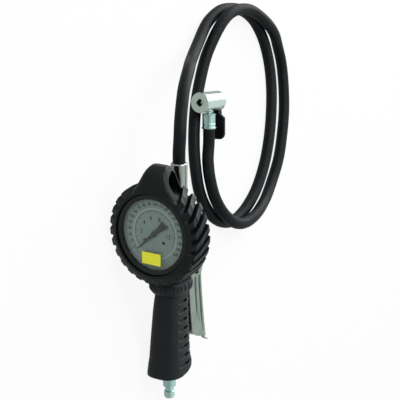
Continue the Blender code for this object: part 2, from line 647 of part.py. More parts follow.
def boot_columns():
    """Base angles of one half's mesh columns, from straight down to straight up, and which carry a lug."""
    columns = [(-90.0, False)]
    for k in range(LUGS_A_SIDE):
        middle = LUG_LOWEST + k * LUG_PITCH
        columns += [(middle - LUG_BASE_HALF, False), (middle - LUG_TOP_HALF, True),
                    (middle + LUG_TOP_HALF, True), (middle + LUG_BASE_HALF, False)]
    last = columns[-1][0]
    spare = 4
    columns += [(last + (90.0 - last) * k / spare, False) for k in range(1, spare)]
    return columns


def make_boot(tool):
    """Rubber boot with swept lugs round its side and the hanging loop on its top."""
    back = CASE_BACK + GAP + BOOT_BACK_WALL
    smooth = [(BOOT_LIP_RADIUS, BOOT_FRONT), (BOOT_SHELL - 1.3 * MM, BOOT_FRONT + 0.6 * MM), (BOOT_SHELL, -1.0 * MM),
              (BOOT_SHELL, 1.0 * MM), (BOOT_SHELL, 9.0 * MM), (BOOT_SHELL, back - 5.0 * MM),
              (BOOT_SHELL, back - 1.6 * MM), (BOOT_SHELL - MM, back)]
    lugged = [(BOOT_LIP_RADIUS, BOOT_FRONT), (BOOT_SHELL - 1.3 * MM, BOOT_FRONT + 0.6 * MM),
              (BOOT_SHELL + 2.0 * MM, -1.0 * MM), (LUG_RADIUS - 0.9 * MM, 1.0 * MM), (LUG_RADIUS, 9.0 * MM),
              (LUG_RADIUS, back - 5.0 * MM), (LUG_RADIUS - 0.7 * MM, back - 1.6 * MM), (BOOT_SHELL + 1.5 * MM, back)]
    half = boot_columns()
    mirrored = [(180.0 - angle, lug) for angle, lug in reversed(half[1:])]
    columns = half + [(90.0, False)] + mirrored
    rings = []
    for level in range(len(smooth)):
        ring = []
        for base, lug in columns:
            radius, y = (lugged if lug else smooth)[level]
            from_side = base if base <= 90.0 else 180.0 - base
            if level in (2, 3) and not lug:
                closed = smooth_step((-from_side - RIM_CLOSED[0]) / (RIM_CLOSED[1] - RIM_CLOSED[0]))
                radius += (lugged[level][0] - radius) * closed * RIM_LUG_SHARE
            # The lugs climb alike. Only the plain stretches at the very top and bottom take up the difference
            strength = min(1.0, (90.0 - from_side) / 38.0, (from_side + 90.0) / LUG_CLEAR_BELOW)
            shift = LUG_SWEEP * max(0.0, y) / back * strength
            angle = math.radians(base + shift if base <= 90.0 else base - shift)
            ring.append((radius * math.cos(angle), y, radius * math.sin(angle)))
        rings.append(ring)
    boot = add_object("gauge_boot", skin(rings), look("boot_rubber"), tool, angle=30.0)
    hood = make_hood(tool, back)
    boot.modifiers.new("hood", "BOOLEAN")
    modifier = boot.modifiers["hood"]
    modifier.operation, modifier.solver, modifier.object = "UNION", "EXACT", hood
    wide, narrow = BEZEL_RADIUS + GAP, CASE_RADIUS + GAP
    step = BEZEL_DEPTH + GAP
    profile = [(0.0, BOOT_FRONT - MM), (wide, BOOT_FRONT - MM), (wide, step), (narrow, step),
               (narrow, CASE_BACK + GAP), (BOOT_BACK_HOLE, CASE_BACK + GAP), (BOOT_BACK_HOLE, back + MM), (0.0, back + MM)]
    cut(boot, turned(profile, segments=72, closed=False), "boot_bore")
    return back


def hood_levels(back):
    """Height, half width, front and back of the hanging loop's outer shape, going up."""
    free = HOOD_RISE
    wide = HOOD_HALF_WIDTH
    front = BOOT_FRONT
    return [(BOOT_SHELL - 19.0 * MM, wide + 18.5 * MM, front + 0.2 * MM, back - 0.3 * MM),
            (BOOT_SHELL - 11.5 * MM, wide + 15.5 * MM, front + 0.2 * MM, back - 0.3 * MM),
            (BOOT_SHELL - 4.5 * MM, wide + 9.0 * MM, front + 0.3 * MM, back - 0.3 * MM),
            (BOOT_SHELL + 0.11 * free, wide + 3.4 * MM, front + 0.7 * MM, back - 0.4 * MM),
            (BOOT_SHELL + 0.40 * free, wide, front + 2.6 * MM, back - 0.9 * MM),
            (BOOT_SHELL + 0.62 * free, wide - 2.4 * MM, front + 4.1 * MM, back - 1.3 * MM),
            (BOOT_SHELL + 0.80 * free, wide - 4.4 * MM, front + 7.0 * MM, back - 1.8 * MM),
            (BOOT_SHELL + 0.92 * free, wide - 6.2 * MM, front + 10.5 * MM, back - 3.6 * MM),
            (BOOT_SHELL + free, wide - 8.1 * MM, front + 14.2 * MM, back - 8.0 * MM)]


def make_hood(tool, back):
    rings = []
    for height, wide, front, rear in hood_levels(back):
        middle, half = (front + rear) / 2, (rear - front) / 2
        ring = []
        for k in range(28):
            x, y = superellipse(wide, half, 5.0, math.tau * (k + 0.5) / 28)
            ring.append((x, middle + y, height))
        rings.append(ring)
    hood = add_object("add_hood", skin(rings), None, tool)
    hood.hide_render = True
    hood.display_type = "WIRE"
    front, rear = BOOT_FRONT + HOOD_FRONT_WALL, back - HOOD_WALL
    low, top = BOOT_SHELL - 16.0 * MM, BOOT_SHELL + HOOD_RISE - HOOD_WALL
    outline = [(front, low), (rear, low), (rear, top - 3.5 * MM), (rear - 2.3 * MM, top),
               (rear - 5.8 * MM, top - 0.4 * MM), (front + 3.5 * MM, top - 5.0 * MM), (front + 0.4 * MM, top - 10.0 * MM)]
    cut(hood, prism(outline, -BOOT_SHELL, BOOT_SHELL, "X"), "hood_opening")
    return hood


# ---------------------------------------------------------------- valve body and trigger


def round_end(centre_y, centre_z, radius, start, end, steps):
    """Points of an arc in the (y, z) plane, by angle from +Y."""
    angles = [math.radians(start + (end - start) * k / steps) for k in range(steps + 1)]
    return [(centre_y + radius * math.cos(a), centre_z + radius * math.sin(a)) for a in angles]


def make_body(tool, boot_back):
    """Cast body: the block behind the gauge, the valve housing in the handle and the trigger's ear."""
    front = boot_back + GAP
    half = BODY_WIDTH / 2
    body = add_object("valve_body", block((-half, front, BODY_BOTTOM), (half, BODY_BACK, BODY_TOP), BODY_BEVEL, 2),
                      look("cast_aluminium"), tool)
    join(body, rod(PAD_RADIUS, CASE_BACK + GAP, front + 2 * MM, segments=32), "body_pad")
    half = HOUSING_WIDTH / 2
    neck, low, high = front + MM, BODY_BOTTOM - 2 * MM, BODY_BOTTOM + 4 * MM
    outline = [(HOUSING_FRONT, HOUSING_BOTTOM), (HOUSING_BACK, HOUSING_BOTTOM), (HOUSING_BACK, high), (neck, high),
               (neck, low), (HOUSING_FRONT, low)]
    join(body, prism(outline, -half, half, "X"), "body_housing")
    join(body, rod(BOSS_RADIUS, HOUSING_BACK - 5 * MM, BOSS_BACK, centre=(0, 0, VALVE_Z), segments=32), "body_boss")
    inner = BODY_BACK - 4 * MM
    outline = [(inner, BODY_BOTTOM + MM), (BODY_BACK, BODY_BOTTOM + MM),
               *round_end(PIVOT_Y, PIVOT_Z, EAR_RADIUS, -90, 90, 10), (inner, PIVOT_Z + EAR_RADIUS)]
    join(body, prism(outline, -EAR_WIDTH / 2, EAR_WIDTH / 2, "X"), "body_ear")
    cut(body, rod(PIN_RADIUS + GAP, -EAR_WIDTH, EAR_WIDTH, "X", (0, PIVOT_Y, PIVOT_Z), 20), "ear_hole")
    air = cut(body, rod(CHAMBER_RADIUS, CHAMBER_FRONT, BOSS_BACK + MM, centre=(0, 0, VALVE_Z)), "air_ways")
    reach = CASE_BACK + STEM_REACH + GAP
    outlet_y = OUTLET_Y - FITTING_BORE + AIR_RADIUS / 2
    join(air, rod(AIR_RADIUS, VALVE_Z, BODY_TOP - FITTING_BORE_DEPTH + MM, "Z", (0, outlet_y, 0), 16), "outlet_channel")
    join(air, rod(AIR_RADIUS, HOUSING_BOTTOM - MM, VALVE_Z, "Z", (0, HANDLE_Y, 0), 16), "inlet_channel")
    join(air, rod(AIR_RADIUS, reach - MM, outlet_y, centre=(0, 0, STEM_Z), segments=20), "gauge_channel")
    join(air, rod(STEM_RADIUS + GAP, CASE_BACK, reach, centre=(0, 0, STEM_Z)), "gauge_port")
    join(air, rod(FITTING_BORE, BODY_TOP - FITTING_BORE_DEPTH, BODY_TOP + MM, "Z", (0, OUTLET_Y, 0)), "fitting_bore")


def lever_line(table):
    """A lever's table as points in the tool's own y and z."""
    return [(y * MM, GRIP_TOP + height * MM) for y, height in table]


def make_valve(tool):
    """Poppet on its stem, the seat that it closes on, and the gland that guides the stem."""
    reach = line_at(offset_line(lever_line(LEVER_BACK), LEVER_SHEET), VALVE_Z) - 2 * GAP
    poppet_back = POPPET_FRONT + POPPET_THICK
    profile = [(0.0, POPPET_FRONT), (POPPET_RADIUS, POPPET_FRONT), (POPPET_RADIUS, poppet_back - MM),
               (STEM_ROD_RADIUS + 0.6 * MM, poppet_back), (STEM_ROD_RADIUS, poppet_back),
               (STEM_ROD_RADIUS, reach - MM), (0.6 * STEM_ROD_RADIUS, reach), (0.0, reach)]
    place = (0.0, poppet_back, VALVE_Z)
    add_object("valve_stem", turned(profile, centre=(0, 0, VALVE_Z), segments=20, closed=False), look("brass"), tool, place)
    seat = poppet_back + GAP
    clear = STEM_ROD_RADIUS + GAP
    add_object("valve_seat", pipe(clear + 0.9 * MM, CHAMBER_RADIUS - GAP, seat, seat + SEAT_THICK,
                                  centre=(0, 0, VALVE_Z), segments=24), look("seal_rubber"), tool)
    spigot = BOSS_BACK - GLAND_SPIGOT
    collar = BOSS_BACK + GAP
    profile = [(clear, spigot), (CHAMBER_RADIUS - GAP, spigot), (CHAMBER_RADIUS - GAP, collar),
               (GLAND_RADIUS, collar), (GLAND_RADIUS, collar + GLAND_LENGTH - MM),
               (GLAND_RADIUS - MM, collar + GLAND_LENGTH), (clear, collar + GLAND_LENGTH)]
    add_object("stem_gland", turned(profile, centre=(0, 0, VALVE_Z), segments=6), look("zinc"), tool, angle=20.0)
    ring_y = spigot - GAP - RING_WIRE
    middle = (clear + CHAMBER_RADIUS - GAP) / 2
    ring = [(middle + RING_WIRE * math.cos(a), ring_y + RING_WIRE * math.sin(a))
            for a in [math.tau * k / 6 for k in range(6)]]
    add_object("stem_o_ring", turned(ring, centre=(0, 0, VALVE_Z), segments=16), look("seal_rubber"), tool)


def make_trigger(tool):
    """Pressed sheet channel: the web at the back, a flange each side and a narrow curled tongue."""
    back = lever_line(LEVER_BACK)
    inside = offset_line(back, LEVER_SHEET)
    tip = inside[-1:-4:-1]
    outline = back + tip + lever_line(LEVER_FRONT)
    half = LEVER_WIDTH / 2
    place = (0.0, PIVOT_Y, PIVOT_Z)
    lever = add_object("trigger_lever", prism(outline, -half, half, "X"), look("lever_steel"), tool, place)
    ends = [(back[0][0] + 2 * MM, back[0][1] + 6 * MM)]
    hollow = ends + inside[:-3]
    far = PIVOT_Y - 3 * EAR_RADIUS
    foot = hollow[-1][1] - 6 * MM
    hollow += [(hollow[-1][0], foot), (far, foot), (far, ends[0][1])]
    cut(lever, prism(hollow, -half + LEVER_SHEET, half - LEVER_SHEET, "X"), "lever_channel")
    cut(lever, rod(PIN_RADIUS + GAP, -LEVER_WIDTH, LEVER_WIDTH, "X", place, 20), "lever_holes")
    cut(lever, block((-LEVER_WIDTH, WINDOW_FRONT, WINDOW_LOW), (LEVER_WIDTH, WINDOW_BACK, WINDOW_HIGH)), "lever_window")
    low, high = (inside[-3][0] - 0.4 * MM, back[-1][1] - 5 * MM), (back[-1][0] + 5 * MM, back[-3][1] - 0.7 * MM)
    for side, name in ((-1, "left"), (1, "right")):
        edges = sorted((side * TONGUE_WIDTH / 2, side * LEVER_WIDTH))
        cut(lever, block((edges[0], *low), (edges[1], *high)), "tongue_" + name)
    head = half + GAP
    end = -half - PIN_PROUD - CLIP_WIRE
    profile = [(0.0, end), (PIN_RADIUS, end), (PIN_RADIUS, head), (PIN_HEAD_RADIUS, head),
               (PIN_HEAD_RADIUS, head + PIN_HEAD_THICK - 0.4 * MM), (PIN_HEAD_RADIUS - 0.4 * MM, head + PIN_HEAD_THICK),
               (0.0, head + PIN_HEAD_THICK)]
    add_object("lever_pin", turned(profile, "X", place, 20, closed=False), look("nickel"), tool, place)
    clip = []
    for k in range(17):
        angle = math.radians(-55 + 290 * k / 16)
        middle = PIN_RADIUS + GAP + CLIP_WIRE
        clip.append([(-half - GAP - CLIP_WIRE + CLIP_WIRE * math.cos(a),
                      PIVOT_Y + (middle + CLIP_WIRE * math.sin(a)) * math.cos(angle),
                      PIVOT_Z + (middle + CLIP_WIRE * math.sin(a)) * math.sin(angle))
                     for a in [math.tau * j / 6 for j in range(6)]])
    add_object("pin_clip", skin(clip), look("zinc"), tool)


# ---------------------------------------------------------------- handle and inlet


def groove_depth(height, share):
    """How far the grip's back is drawn in at a height."""
    for k in range(GROOVE_COUNT):
        away = abs(height - (GROOVE_FIRST - k * GROOVE_PITCH))
        if away < GROOVE_WIDTH / 2:
            return GROOVE_DEPTH * share * smooth_step(2.0 - 4.0 * away / GROOVE_WIDTH)
    return 0.0


def grip_rows():
    return [(GRIP_TOP + height * MM, *(size * MM for size in sizes)) for height, *sizes in GRIP_SECTIONS]


def skirt_lift(height, y):
    """How far a point of the grip's lower sections climbs with the rim, from the front to the back."""
    _, _, half_y, centre = grip_rows()[-1]
    bottom = GRIP_TOP + GRIP_SECTIONS[-1][0] * MM
    share = 1.0 - min(1.0, (height - bottom) / SKIRT_BLEND)
    back = max(0.0, y - SKIRT_LEVEL_Y) / (centre + half_y - SKIRT_LEVEL_Y)
    return SKIRT_RISE * share * back * back


def grip_heights():
    heights = [row[0] for row in grip_rows()]
    bottom = heights[-1]
    for k in range(GROOVE_COUNT):
        middle = GROOVE_FIRST - k * GROOVE_PITCH
        heights += [middle + GROOVE_WIDTH / 2, middle + GROOVE_WIDTH / 4, middle - GROOVE_WIDTH / 4,
                    middle - GROOVE_WIDTH / 2]
    heights.sort(reverse=True)
    kept = heights[:1]
    for height in heights[1:]:
        if kept[-1] - height > 0.3 * MM:
            kept.append(height)
    kept[-1] = bottom
    return kept


def make_grip(tool):
    """Moulded grip: collar under the boot, smooth front panel, ribs round the back and a flared skirt."""
    rings = []
    rows = grip_rows()
    top, bottom = rows[0][0], rows[-1][0]
    for height in grip_heights():
        half_x, half_y, centre = table_row(rows, height)
        ring = []
        for k in range(GRIP_SIDES):
            angle = math.tau * (k + 0.5) / GRIP_SIDES
            x, y = superellipse(half_x, half_y, GRIP_SQUARENESS, angle)
            from_front = abs(math.degrees(math.atan2(x, -y)))
            share = smooth_step((from_front - PANEL_ANGLE) / 22.0)
            reach = math.hypot(x, y)
            inner = 1.0 - groove_depth(height, share) / reach
            ends = smooth_step((top - height - 14 * MM) / (8 * MM)) * smooth_step((height - bottom - 18 * MM) / (8 * MM))
            rise = GROOVE_SLANT * y * share * ends + skirt_lift(height, centre + y)
            ring.append((x * inner, centre + y * inner, height + rise))
        rings.append(ring)
    grip = add_object("grip_sleeve", skin(rings), look("grip_rubber"), tool, angle=40.0)
    half = HOUSING_WIDTH / 2 + GAP
    cut(grip, block((-half, HOUSING_FRONT - GAP, HOUSING_BOTTOM - GAP), (half, HOUSING_BACK + GAP, top + 3 * MM)),
        "grip_housing")
    cut(grip, rod(HANDLE_RADIUS + GAP, HANDLE_BOTTOM - GAP, HOUSING_BOTTOM + 4 * MM, "Z", (0, HANDLE_Y, 0), 32), "grip_bore")
    cut(grip, rod(SLEEVE_LIP, bottom - MM, HANDLE_BOTTOM + MM, "Z", (0, HANDLE_Y, 0)), "grip_lip")
    cut(grip, rod(BOSS_RADIUS + GAP, HOUSING_BACK - 3 * MM, BOSS_BACK + 2 * GLAND_LENGTH, centre=(0, 0, VALVE_Z),
                  segments=32), "grip_boss")
    add_object("handle_tube", pipe(HANDLE_BORE, HANDLE_RADIUS, HANDLE_BOTTOM, HOUSING_BOTTOM - GAP, "Z",
                                   (0, HANDLE_Y, 0), 32), look("cast_aluminium"), tool)


def make_inlet(tool):
    """Plug nipple screwed into the handle's foot, on its washer."""
    washer_low = HANDLE_BOTTOM - GAP - WASHER_THICK
    add_object("inlet_washer", pipe(HANDLE_BORE, NIPPLE_FLANGE, washer_low, HANDLE_BOTTOM - GAP, "Z",
                                    (0, HANDLE_Y, 0), 24), look("brass"), tool)
    seat = washer_low - GAP
    end = NIPPLE_END
    chamfer = 0.8 * MM
    profile = [(NIPPLE_BORE, seat + NIPPLE_SHANK_LENGTH), (NIPPLE_BORE, end),
               (4.6 * MM, end), (5.7 * MM, end + 2.2 * MM), (5.7 * MM, end + 7.4 * MM), (4.4 * MM, end + 8.3 * MM),
               (4.4 * MM, end + 12.0 * MM), (NIPPLE_COLLAR - chamfer, end + 12.6 * MM),
               (NIPPLE_COLLAR, end + 12.6 * MM + chamfer), (NIPPLE_COLLAR, seat - 2.2 * MM),
               (NIPPLE_FLANGE, seat - 2.0 * MM), (NIPPLE_FLANGE, seat), (NIPPLE_SHANK, seat),
               (NIPPLE_SHANK, seat + NIPPLE_SHANK_LENGTH)]
    add_object("inlet_nipple", turned(profile, "Z", (0, HANDLE_Y, 0), 24), look("zinc"), tool)
    low = seat + NIPPLE_SHANK_LENGTH + GAP
    add_object("inlet_filter", rod(HANDLE_BORE - GAP, low, low + 3 * MM, "Z", (0, HANDLE_Y, 0), 24), look("brass"), tool)


def make_hose_end(tool):
    """Barbed fitting in the body's top, with the ferrule that holds the hose."""
    collar_low = BODY_TOP + GAP
    top = FERRULE_BOTTOM + FERRULE_LENGTH
    spigot = BODY_TOP - FITTING_BORE_DEPTH + 3 * MM
    profile = [(1.8 * MM, spigot), (FITTING_BORE - GAP, spigot), (FITTING_BORE - GAP, collar_low),
               (COLLAR_RADIUS, collar_low), (COLLAR_RADIUS, FERRULE_BOTTOM - GAP), (BARB_RADIUS, FERRULE_BOTTOM - GAP)]
    for k in range(4):
        low = FERRULE_BOTTOM + 3 * MM + k * 6 * MM
        profile += [(BARB_RADIUS - 0.5 * MM, low), (BARB_RADIUS, low + 4.5 * MM)]
    profile += [(BARB_RADIUS - 0.5 * MM, top - MM), (1.8 * MM, top - MM)]
    add_object("hose_fitting", turned(profile, "Z", (0, OUTLET_Y, 0), 18), look("zinc"), tool)
    inner = BARB_RADIUS + GAP
    edge = 0.9 * MM
    profile = [(inner, FERRULE_BOTTOM), (FERRULE_RADIUS - 2.2 * MM, FERRULE_BOTTOM),
               (FERRULE_RADIUS, FERRULE_BOTTOM + 2.6 * MM), (FERRULE_RADIUS, top - edge),
               (FERRULE_RADIUS - edge, top), (inner, top)]
    add_object("hose_ferrule", turned(profile, "Z", (0, OUTLET_Y, 0), 36), look("nickel"), tool)
    return top


# ---------------------------------------------------------------- chuck


def make_chuck(chuck):
    """Clip-on chuck. Its own X runs from the valve's side to the back, and its hose leaves towards -Y."""
    half = CHUCK_LENGTH / 2
    edge = 0.8 * MM
    profile = [(0.0, -half), (CHUCK_RADIUS - edge, -half), (CHUCK_RADIUS, -half + edge),
               (CHUCK_RADIUS, half - 1.6 * MM), (CHUCK_RADIUS - 1.6 * MM, half), (0.0, half)]
    body = add_object("chuck_body", turned(profile, "X", segments=40, closed=False), look("satin_aluminium"), chuck)
    bore_end = -half + CHUCK_BORE_DEPTH
    cut(body, rod(CHUCK_BORE, -half + CHUCK_FACE_THICK, bore_end, "X", segments=32), "chuck_bore")
    reach = CHUCK_HOLE / math.sqrt(2)
    nick = 0.9 * MM
    corners = [(reach - nick, -nick), (reach - nick, nick), (nick, reach - nick), (-nick, reach - nick),
               (-reach + nick, nick), (-reach + nick, -nick), (-nick, -reach + nick), (nick, -reach + nick)]
    cut(body, prism(corners, -half - MM, -half + CHUCK_FACE_THICK + MM, "X"), "chuck_hole")
    cut(body, rod(CHUCK_NECK + GAP, -CHUCK_RADIUS - MM, -CHUCK_BORE + 2 * MM, "Y", segments=24), "chuck_port")
    slot_low = CLIP_PIVOT_X - 5.0 * MM
    cut(body, block((slot_low, -CHUCK_RADIUS - MM, -CLIP_SLOT_WIDTH / 2),
                    (half + MM, CLIP_PIVOT_Y + 3.4 * MM, CLIP_SLOT_WIDTH / 2)), "chuck_slot")
    cut(body, rod(CLIP_PIN_RADIUS + GAP, -CHUCK_RADIUS, CHUCK_RADIUS, "Z", (CLIP_PIVOT_X, CLIP_PIVOT_Y, 0), 16),
        "chuck_pin_hole")
    make_chuck_insides(chuck, half, bore_end)
    make_chuck_clip(chuck, half)
    make_chuck_ferrule(chuck)


def make_chuck_insides(chuck, half, bore_end):
    seal_low = -half + CHUCK_FACE_THICK + GAP
    add_object("chuck_seal", pipe(CHUCK_SEAL_BORE, CHUCK_BORE - GAP, seal_low, seal_low + CHUCK_SEAL_THICK, "X",
                                  segments=24), look("seal_rubber"), chuck)
    flange = seal_low + CHUCK_SEAL_THICK + 3.0 * MM
    tip = flange - 4.2 * MM
    profile = [(0.0, tip), (PUSH_PIN_RADIUS, tip), (PUSH_PIN_RADIUS, flange), (PUSH_PIN_FLANGE, flange),
               (PUSH_PIN_FLANGE, flange + 1.4 * MM), (PUSH_PIN_RADIUS, flange + 1.4 * MM),
               (PUSH_PIN_RADIUS, bore_end - 2.6 * MM), (0.0, bore_end - 2.6 * MM)]
    add_object("push_pin", turned(profile, "X", segments=16, closed=False), look("brass"), chuck, (flange, 0.0, 0.0))
    guide = flange + 1.4 * MM + 2.4 * MM
    add_object("pin_guide", pipe(PUSH_PIN_RADIUS + GAP, CHUCK_BORE - GAP, guide, guide + 2.0 * MM, "X", segments=24),
               look("brass"), chuck)


def make_chuck_clip(chuck, half):
    """Thumb lever in the chuck's slot: its neck turns on a cross pin and its tab hangs beside the hose."""
    inner, outer = CLIP_X, CLIP_X + CLIP_THICK
    top = CLIP_PIVOT_Y + 2.6 * MM
    outline = [(CLIP_PIVOT_X - 3.0 * MM, top), (CLIP_PIVOT_X + 3.0 * MM, top), (outer, CLIP_TOP + 2 * MM),
               (outer, CLIP_BOTTOM), (inner + 1.2 * MM, CLIP_BOTTOM), (inner, CLIP_BOTTOM + 5 * MM),
               (inner, CLIP_TOP), (CLIP_PIVOT_X - 3.0 * MM, -CHUCK_RADIUS - 2.0 * MM)]
    place = (CLIP_PIVOT_X, CLIP_PIVOT_Y, 0.0)
    lever = add_object("chuck_lever", prism(outline, -CLIP_NECK / 2, CLIP_NECK / 2, "Z"), look("black_plastic"),
                       chuck, place)
    wide = CLIP_WIDTH / 2
    corner = 6.5 * MM
    tab = []
    for sign, start in ((-1, 180), (1, 270)):
        for k in range(7):
            angle = math.radians(start + 90 * k / 6)
            tab.append((CLIP_BOTTOM + corner + corner * math.sin(angle), sign * (wide - corner) + corner * math.cos(angle)))
    tab += [(CLIP_TOP - 3 * MM, wide), (CLIP_TOP, wide - 3 * MM), (CLIP_TOP, -wide + 3 * MM), (CLIP_TOP - 3 * MM, -wide)]
    join(lever, prism(tab, inner + 0.2 * MM, outer - 0.2 * MM, "X"), "clip_tab")
    cut(lever, rod(CLIP_PIN_RADIUS + GAP, -CLIP_WIDTH, CLIP_WIDTH, "Z", place, 16), "clip_hole")
    side = math.sqrt(CHUCK_RADIUS ** 2 - CLIP_PIVOT_Y ** 2) - 0.6 * MM
    add_object("clip_pin", rod(CLIP_PIN_RADIUS, -side, side, "Z", place, 16), look("zinc"), chuck, place)


def make_chuck_ferrule(chuck):
    start = CHUCK_RADIUS + GAP
    end = start + CHUCK_FERRULE_LENGTH
    radius = CHUCK_FERRULE_RADIUS
    rim = 0.9 * MM
    neck_profile = [(1.5 * MM, -CHUCK_BORE), (1.5 * MM, -end + 2 * MM), (2.9 * MM, -end + 2 * MM),
                    (2.9 * MM, -start - GAP), (CHUCK_NECK, -start - GAP + 0.2 * MM), (CHUCK_NECK, -CHUCK_BORE)]
    add_object("chuck_barb", turned(neck_profile, "Y", segments=20), look("zinc"), chuck)
    profile = [(3.2 * MM, -end), (radius + 0.3 * MM, -end), (radius + rim, -end + rim), (radius + rim, -end + 2 * rim),
               (radius, -end + 3 * rim), (radius, -end + 5 * rim), (radius + 0.5 * rim, -end + 6 * rim),
               (radius, -end + 7 * rim), (radius, -start - 4 * rim), (radius + 0.6 * rim, -start - 3 * rim),
               (radius + 0.6 * rim, -start - 2.2 * rim), (radius - rim, -start - 1.2 * rim), (3.2 * MM, -start - 1.2 * rim)]
    add_object("chuck_ferrule", turned(profile, "Y", segments=24), look("zinc"), chuck)


# ---------------------------------------------------------------- hose


def smooth_points(points, count):
    """Evenly spaced points of a smooth curve through the given ones, whose two ends stay straight."""
    dense = []
    for a, b, c, d in zip(points, points[1:], points[2:], points[3:]):
        for k in range(16):
            t = k / 16
            dense.append(((b * 2) + (c - a) * t + (a * 2 - b * 5 + c * 4 - d) * t * t
                          + (b * 3 - a - c * 3 + d) * t * t * t) / 2)
    dense.append(points[-2])
    lengths = [0.0]
    for a, b in zip(dense, dense[1:]):
        lengths.append(lengths[-1] + (b - a).length)
    evenly = [points[0]]
    k = 0
    for i in range(count - 2):
        target = lengths[-1] * i / (count - 3)
        while k < len(lengths) - 2 and lengths[k + 1] < target:
            k += 1
        share = (target - lengths[k]) / (lengths[k + 1] - lengths[k])
        evenly.append(dense[k].lerp(dense[k + 1], min(1.0, max(0.0, share))))
    evenly.append(points[-1])
    whole = lengths[-1] + (points[1] - points[0]).length + (points[-1] - points[-2]).length
    return evenly, whole


def least_gap(points, diameter):
    """Smallest clear distance of the tube to itself, between stretches that aren't neighbours."""
    least = 1.0
    for i in range(len(points) - 1):
        for j in range(i + 4, len(points) - 1):
            pair = intersect_line_line(points[i], points[i + 1], points[j], points[j + 1])
            candidates = [(points[i] - points[j]).length]
            if pair is not None:
                first, second = pair
                span_i, span_j = points[i + 1] - points[i], points[j + 1] - points[j]
                t = (first - points[i]).dot(span_i) / span_i.length_squared
                s = (second - points[j]).dot(span_j) / span_j.length_squared
                if 0.0 <= t <= 1.0 and 0.0 <= s <= 1.0:
                    candidates.append((first - second).length)
            least = min(least, *candidates)
    return least - diameter


def make_hose(floor, start, start_way, end, end_way):
    """One tube from the ferrule, through the route's points on the floor, to the chuck."""
    lead = HOSE_DIAMETER
    first = start + start_way * GAP
    last = end - end_way * GAP
    route = [first, first + start_way * lead]
    route += [Vector(point) * MM for point in HOSE_ROUTE]
    route += [last - end_way * lead, last]
    points, length = smooth_points(route, HOSE_STEPS)
    curve = bpy.data.curves.new("hose", "CURVE")
    curve.dimensions = "3D"
    curve.bevel_depth = HOSE_DIAMETER / 2
    curve.bevel_resolution = 3
    curve.use_fill_caps = True
    spline = curve.splines.new("POLY")
    spline.points.add(len(points) - 1)
    for point, place in zip(spline.points, points):
        point.co = (*place, 1.0)
    hose = bpy.data.objects.new("hose", curve)
    bpy.context.collection.objects.link(hose)
    hose.parent = floor
    curve.materials.append(look("hose_rubber"))
    print(f"hose: length {length:.3f} m, least gap to itself {least_gap(points, HOSE_DIAMETER) / MM:.2f} mm")


# ---------------------------------------------------------------- lying on the floor


def rest_tilt():
    """The tilt about the gauge's axis at which the lugs and the grip's skirt both touch the floor."""
    tilts = []
    for height, side, _, centre in grip_rows()[-4:]:
        reach = -height - skirt_lift(height, centre)
        tilts.append(math.asin(LUG_RADIUS / math.hypot(reach, side)) - math.atan2(side, reach))
    return min(tilts)


def world_box(objects):
    bpy.context.view_layer.update()
    graph = bpy.context.evaluated_depsgraph_get()
    low, high = Vector((1e9,) * 3), Vector((-1e9,) * 3)
    for obj in objects:
        seen = obj.evaluated_get(graph)
        mesh = seen.to_mesh()
        for vertex in mesh.vertices:
            place = seen.matrix_world @ vertex.co
            low = Vector(map(min, low, place))
            high = Vector(map(max, high, place))
        seen.to_mesh_clear()
    return low, high


def main():
    for obj in list(bpy.data.objects):
        bpy.data.objects.remove(obj, do_unlink=True)
    floor = add_empty("floor_point")
    tool = add_empty("tool", floor)

    make_case(tool)
    make_bezel(tool)
    make_lens(tool)
    make_dial(tool)
    arbor_end = make_pointer(tool)
    sector_low = make_sector(tool, arbor_end)
    movement_back = make_movement(tool)
    make_pressure_tube(tool, movement_back, sector_low)
    boot_back = make_boot(tool)
    make_body(tool, boot_back)
    make_valve(tool)
    make_trigger(tool)
    make_grip(tool)
    make_inlet(tool)
    ferrule_top = make_hose_end(tool)

    tilt = rest_tilt()
    lay = Matrix(((0.0, 1.0, 0.0), (-math.sin(tilt), 0.0, math.cos(tilt)), (math.cos(tilt), 0.0, math.sin(tilt))))
    tool.matrix_local = Matrix.Translation((0.0, 0.0, LUG_RADIUS)) @ lay.to_4x4()
    pieces = [obj for obj in tool.children if not obj.hide_render]
    low, high = world_box(pieces)
    tool.location.z -= low.z
    floor.location = (-(low.x + high.x) / 2, -(low.y + high.y) / 2, 0.0)

    chuck = add_empty("chuck", floor)
    chuck.location = Vector(CHUCK_PLACE) * MM
    chuck.rotation_euler = [math.radians(angle) for angle in CHUCK_TURN]
    make_chuck(chuck)
    bpy.context.view_layer.update()
    out = (lay @ Vector((0.0, 0.0, 1.0))).normalized()
    start = tool.matrix_local @ Vector((0.0, OUTLET_Y, ferrule_top))
    into = (chuck.matrix_local.to_3x3() @ Vector((0.0, 1.0, 0.0))).normalized()
    end = chuck.matrix_local @ Vector((0.0, -(CHUCK_RADIUS + GAP + CHUCK_FERRULE_LENGTH), 0.0))
    make_hose(floor, start, out, end, into)
    print("tilt", math.degrees(tilt), "floor point", floor.location[:], "tool", tool.location[:])
    print("hose start", [round(v / MM, 1) for v in start], "end", [round(v / MM, 1) for v in end])


main()
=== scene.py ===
"""Looks for the portable tyre inflator: camera, light, materials, the hose and the dial's print."""
import json
import math

import bmesh
import bpy
from mathutils import Euler, Matrix, Vector


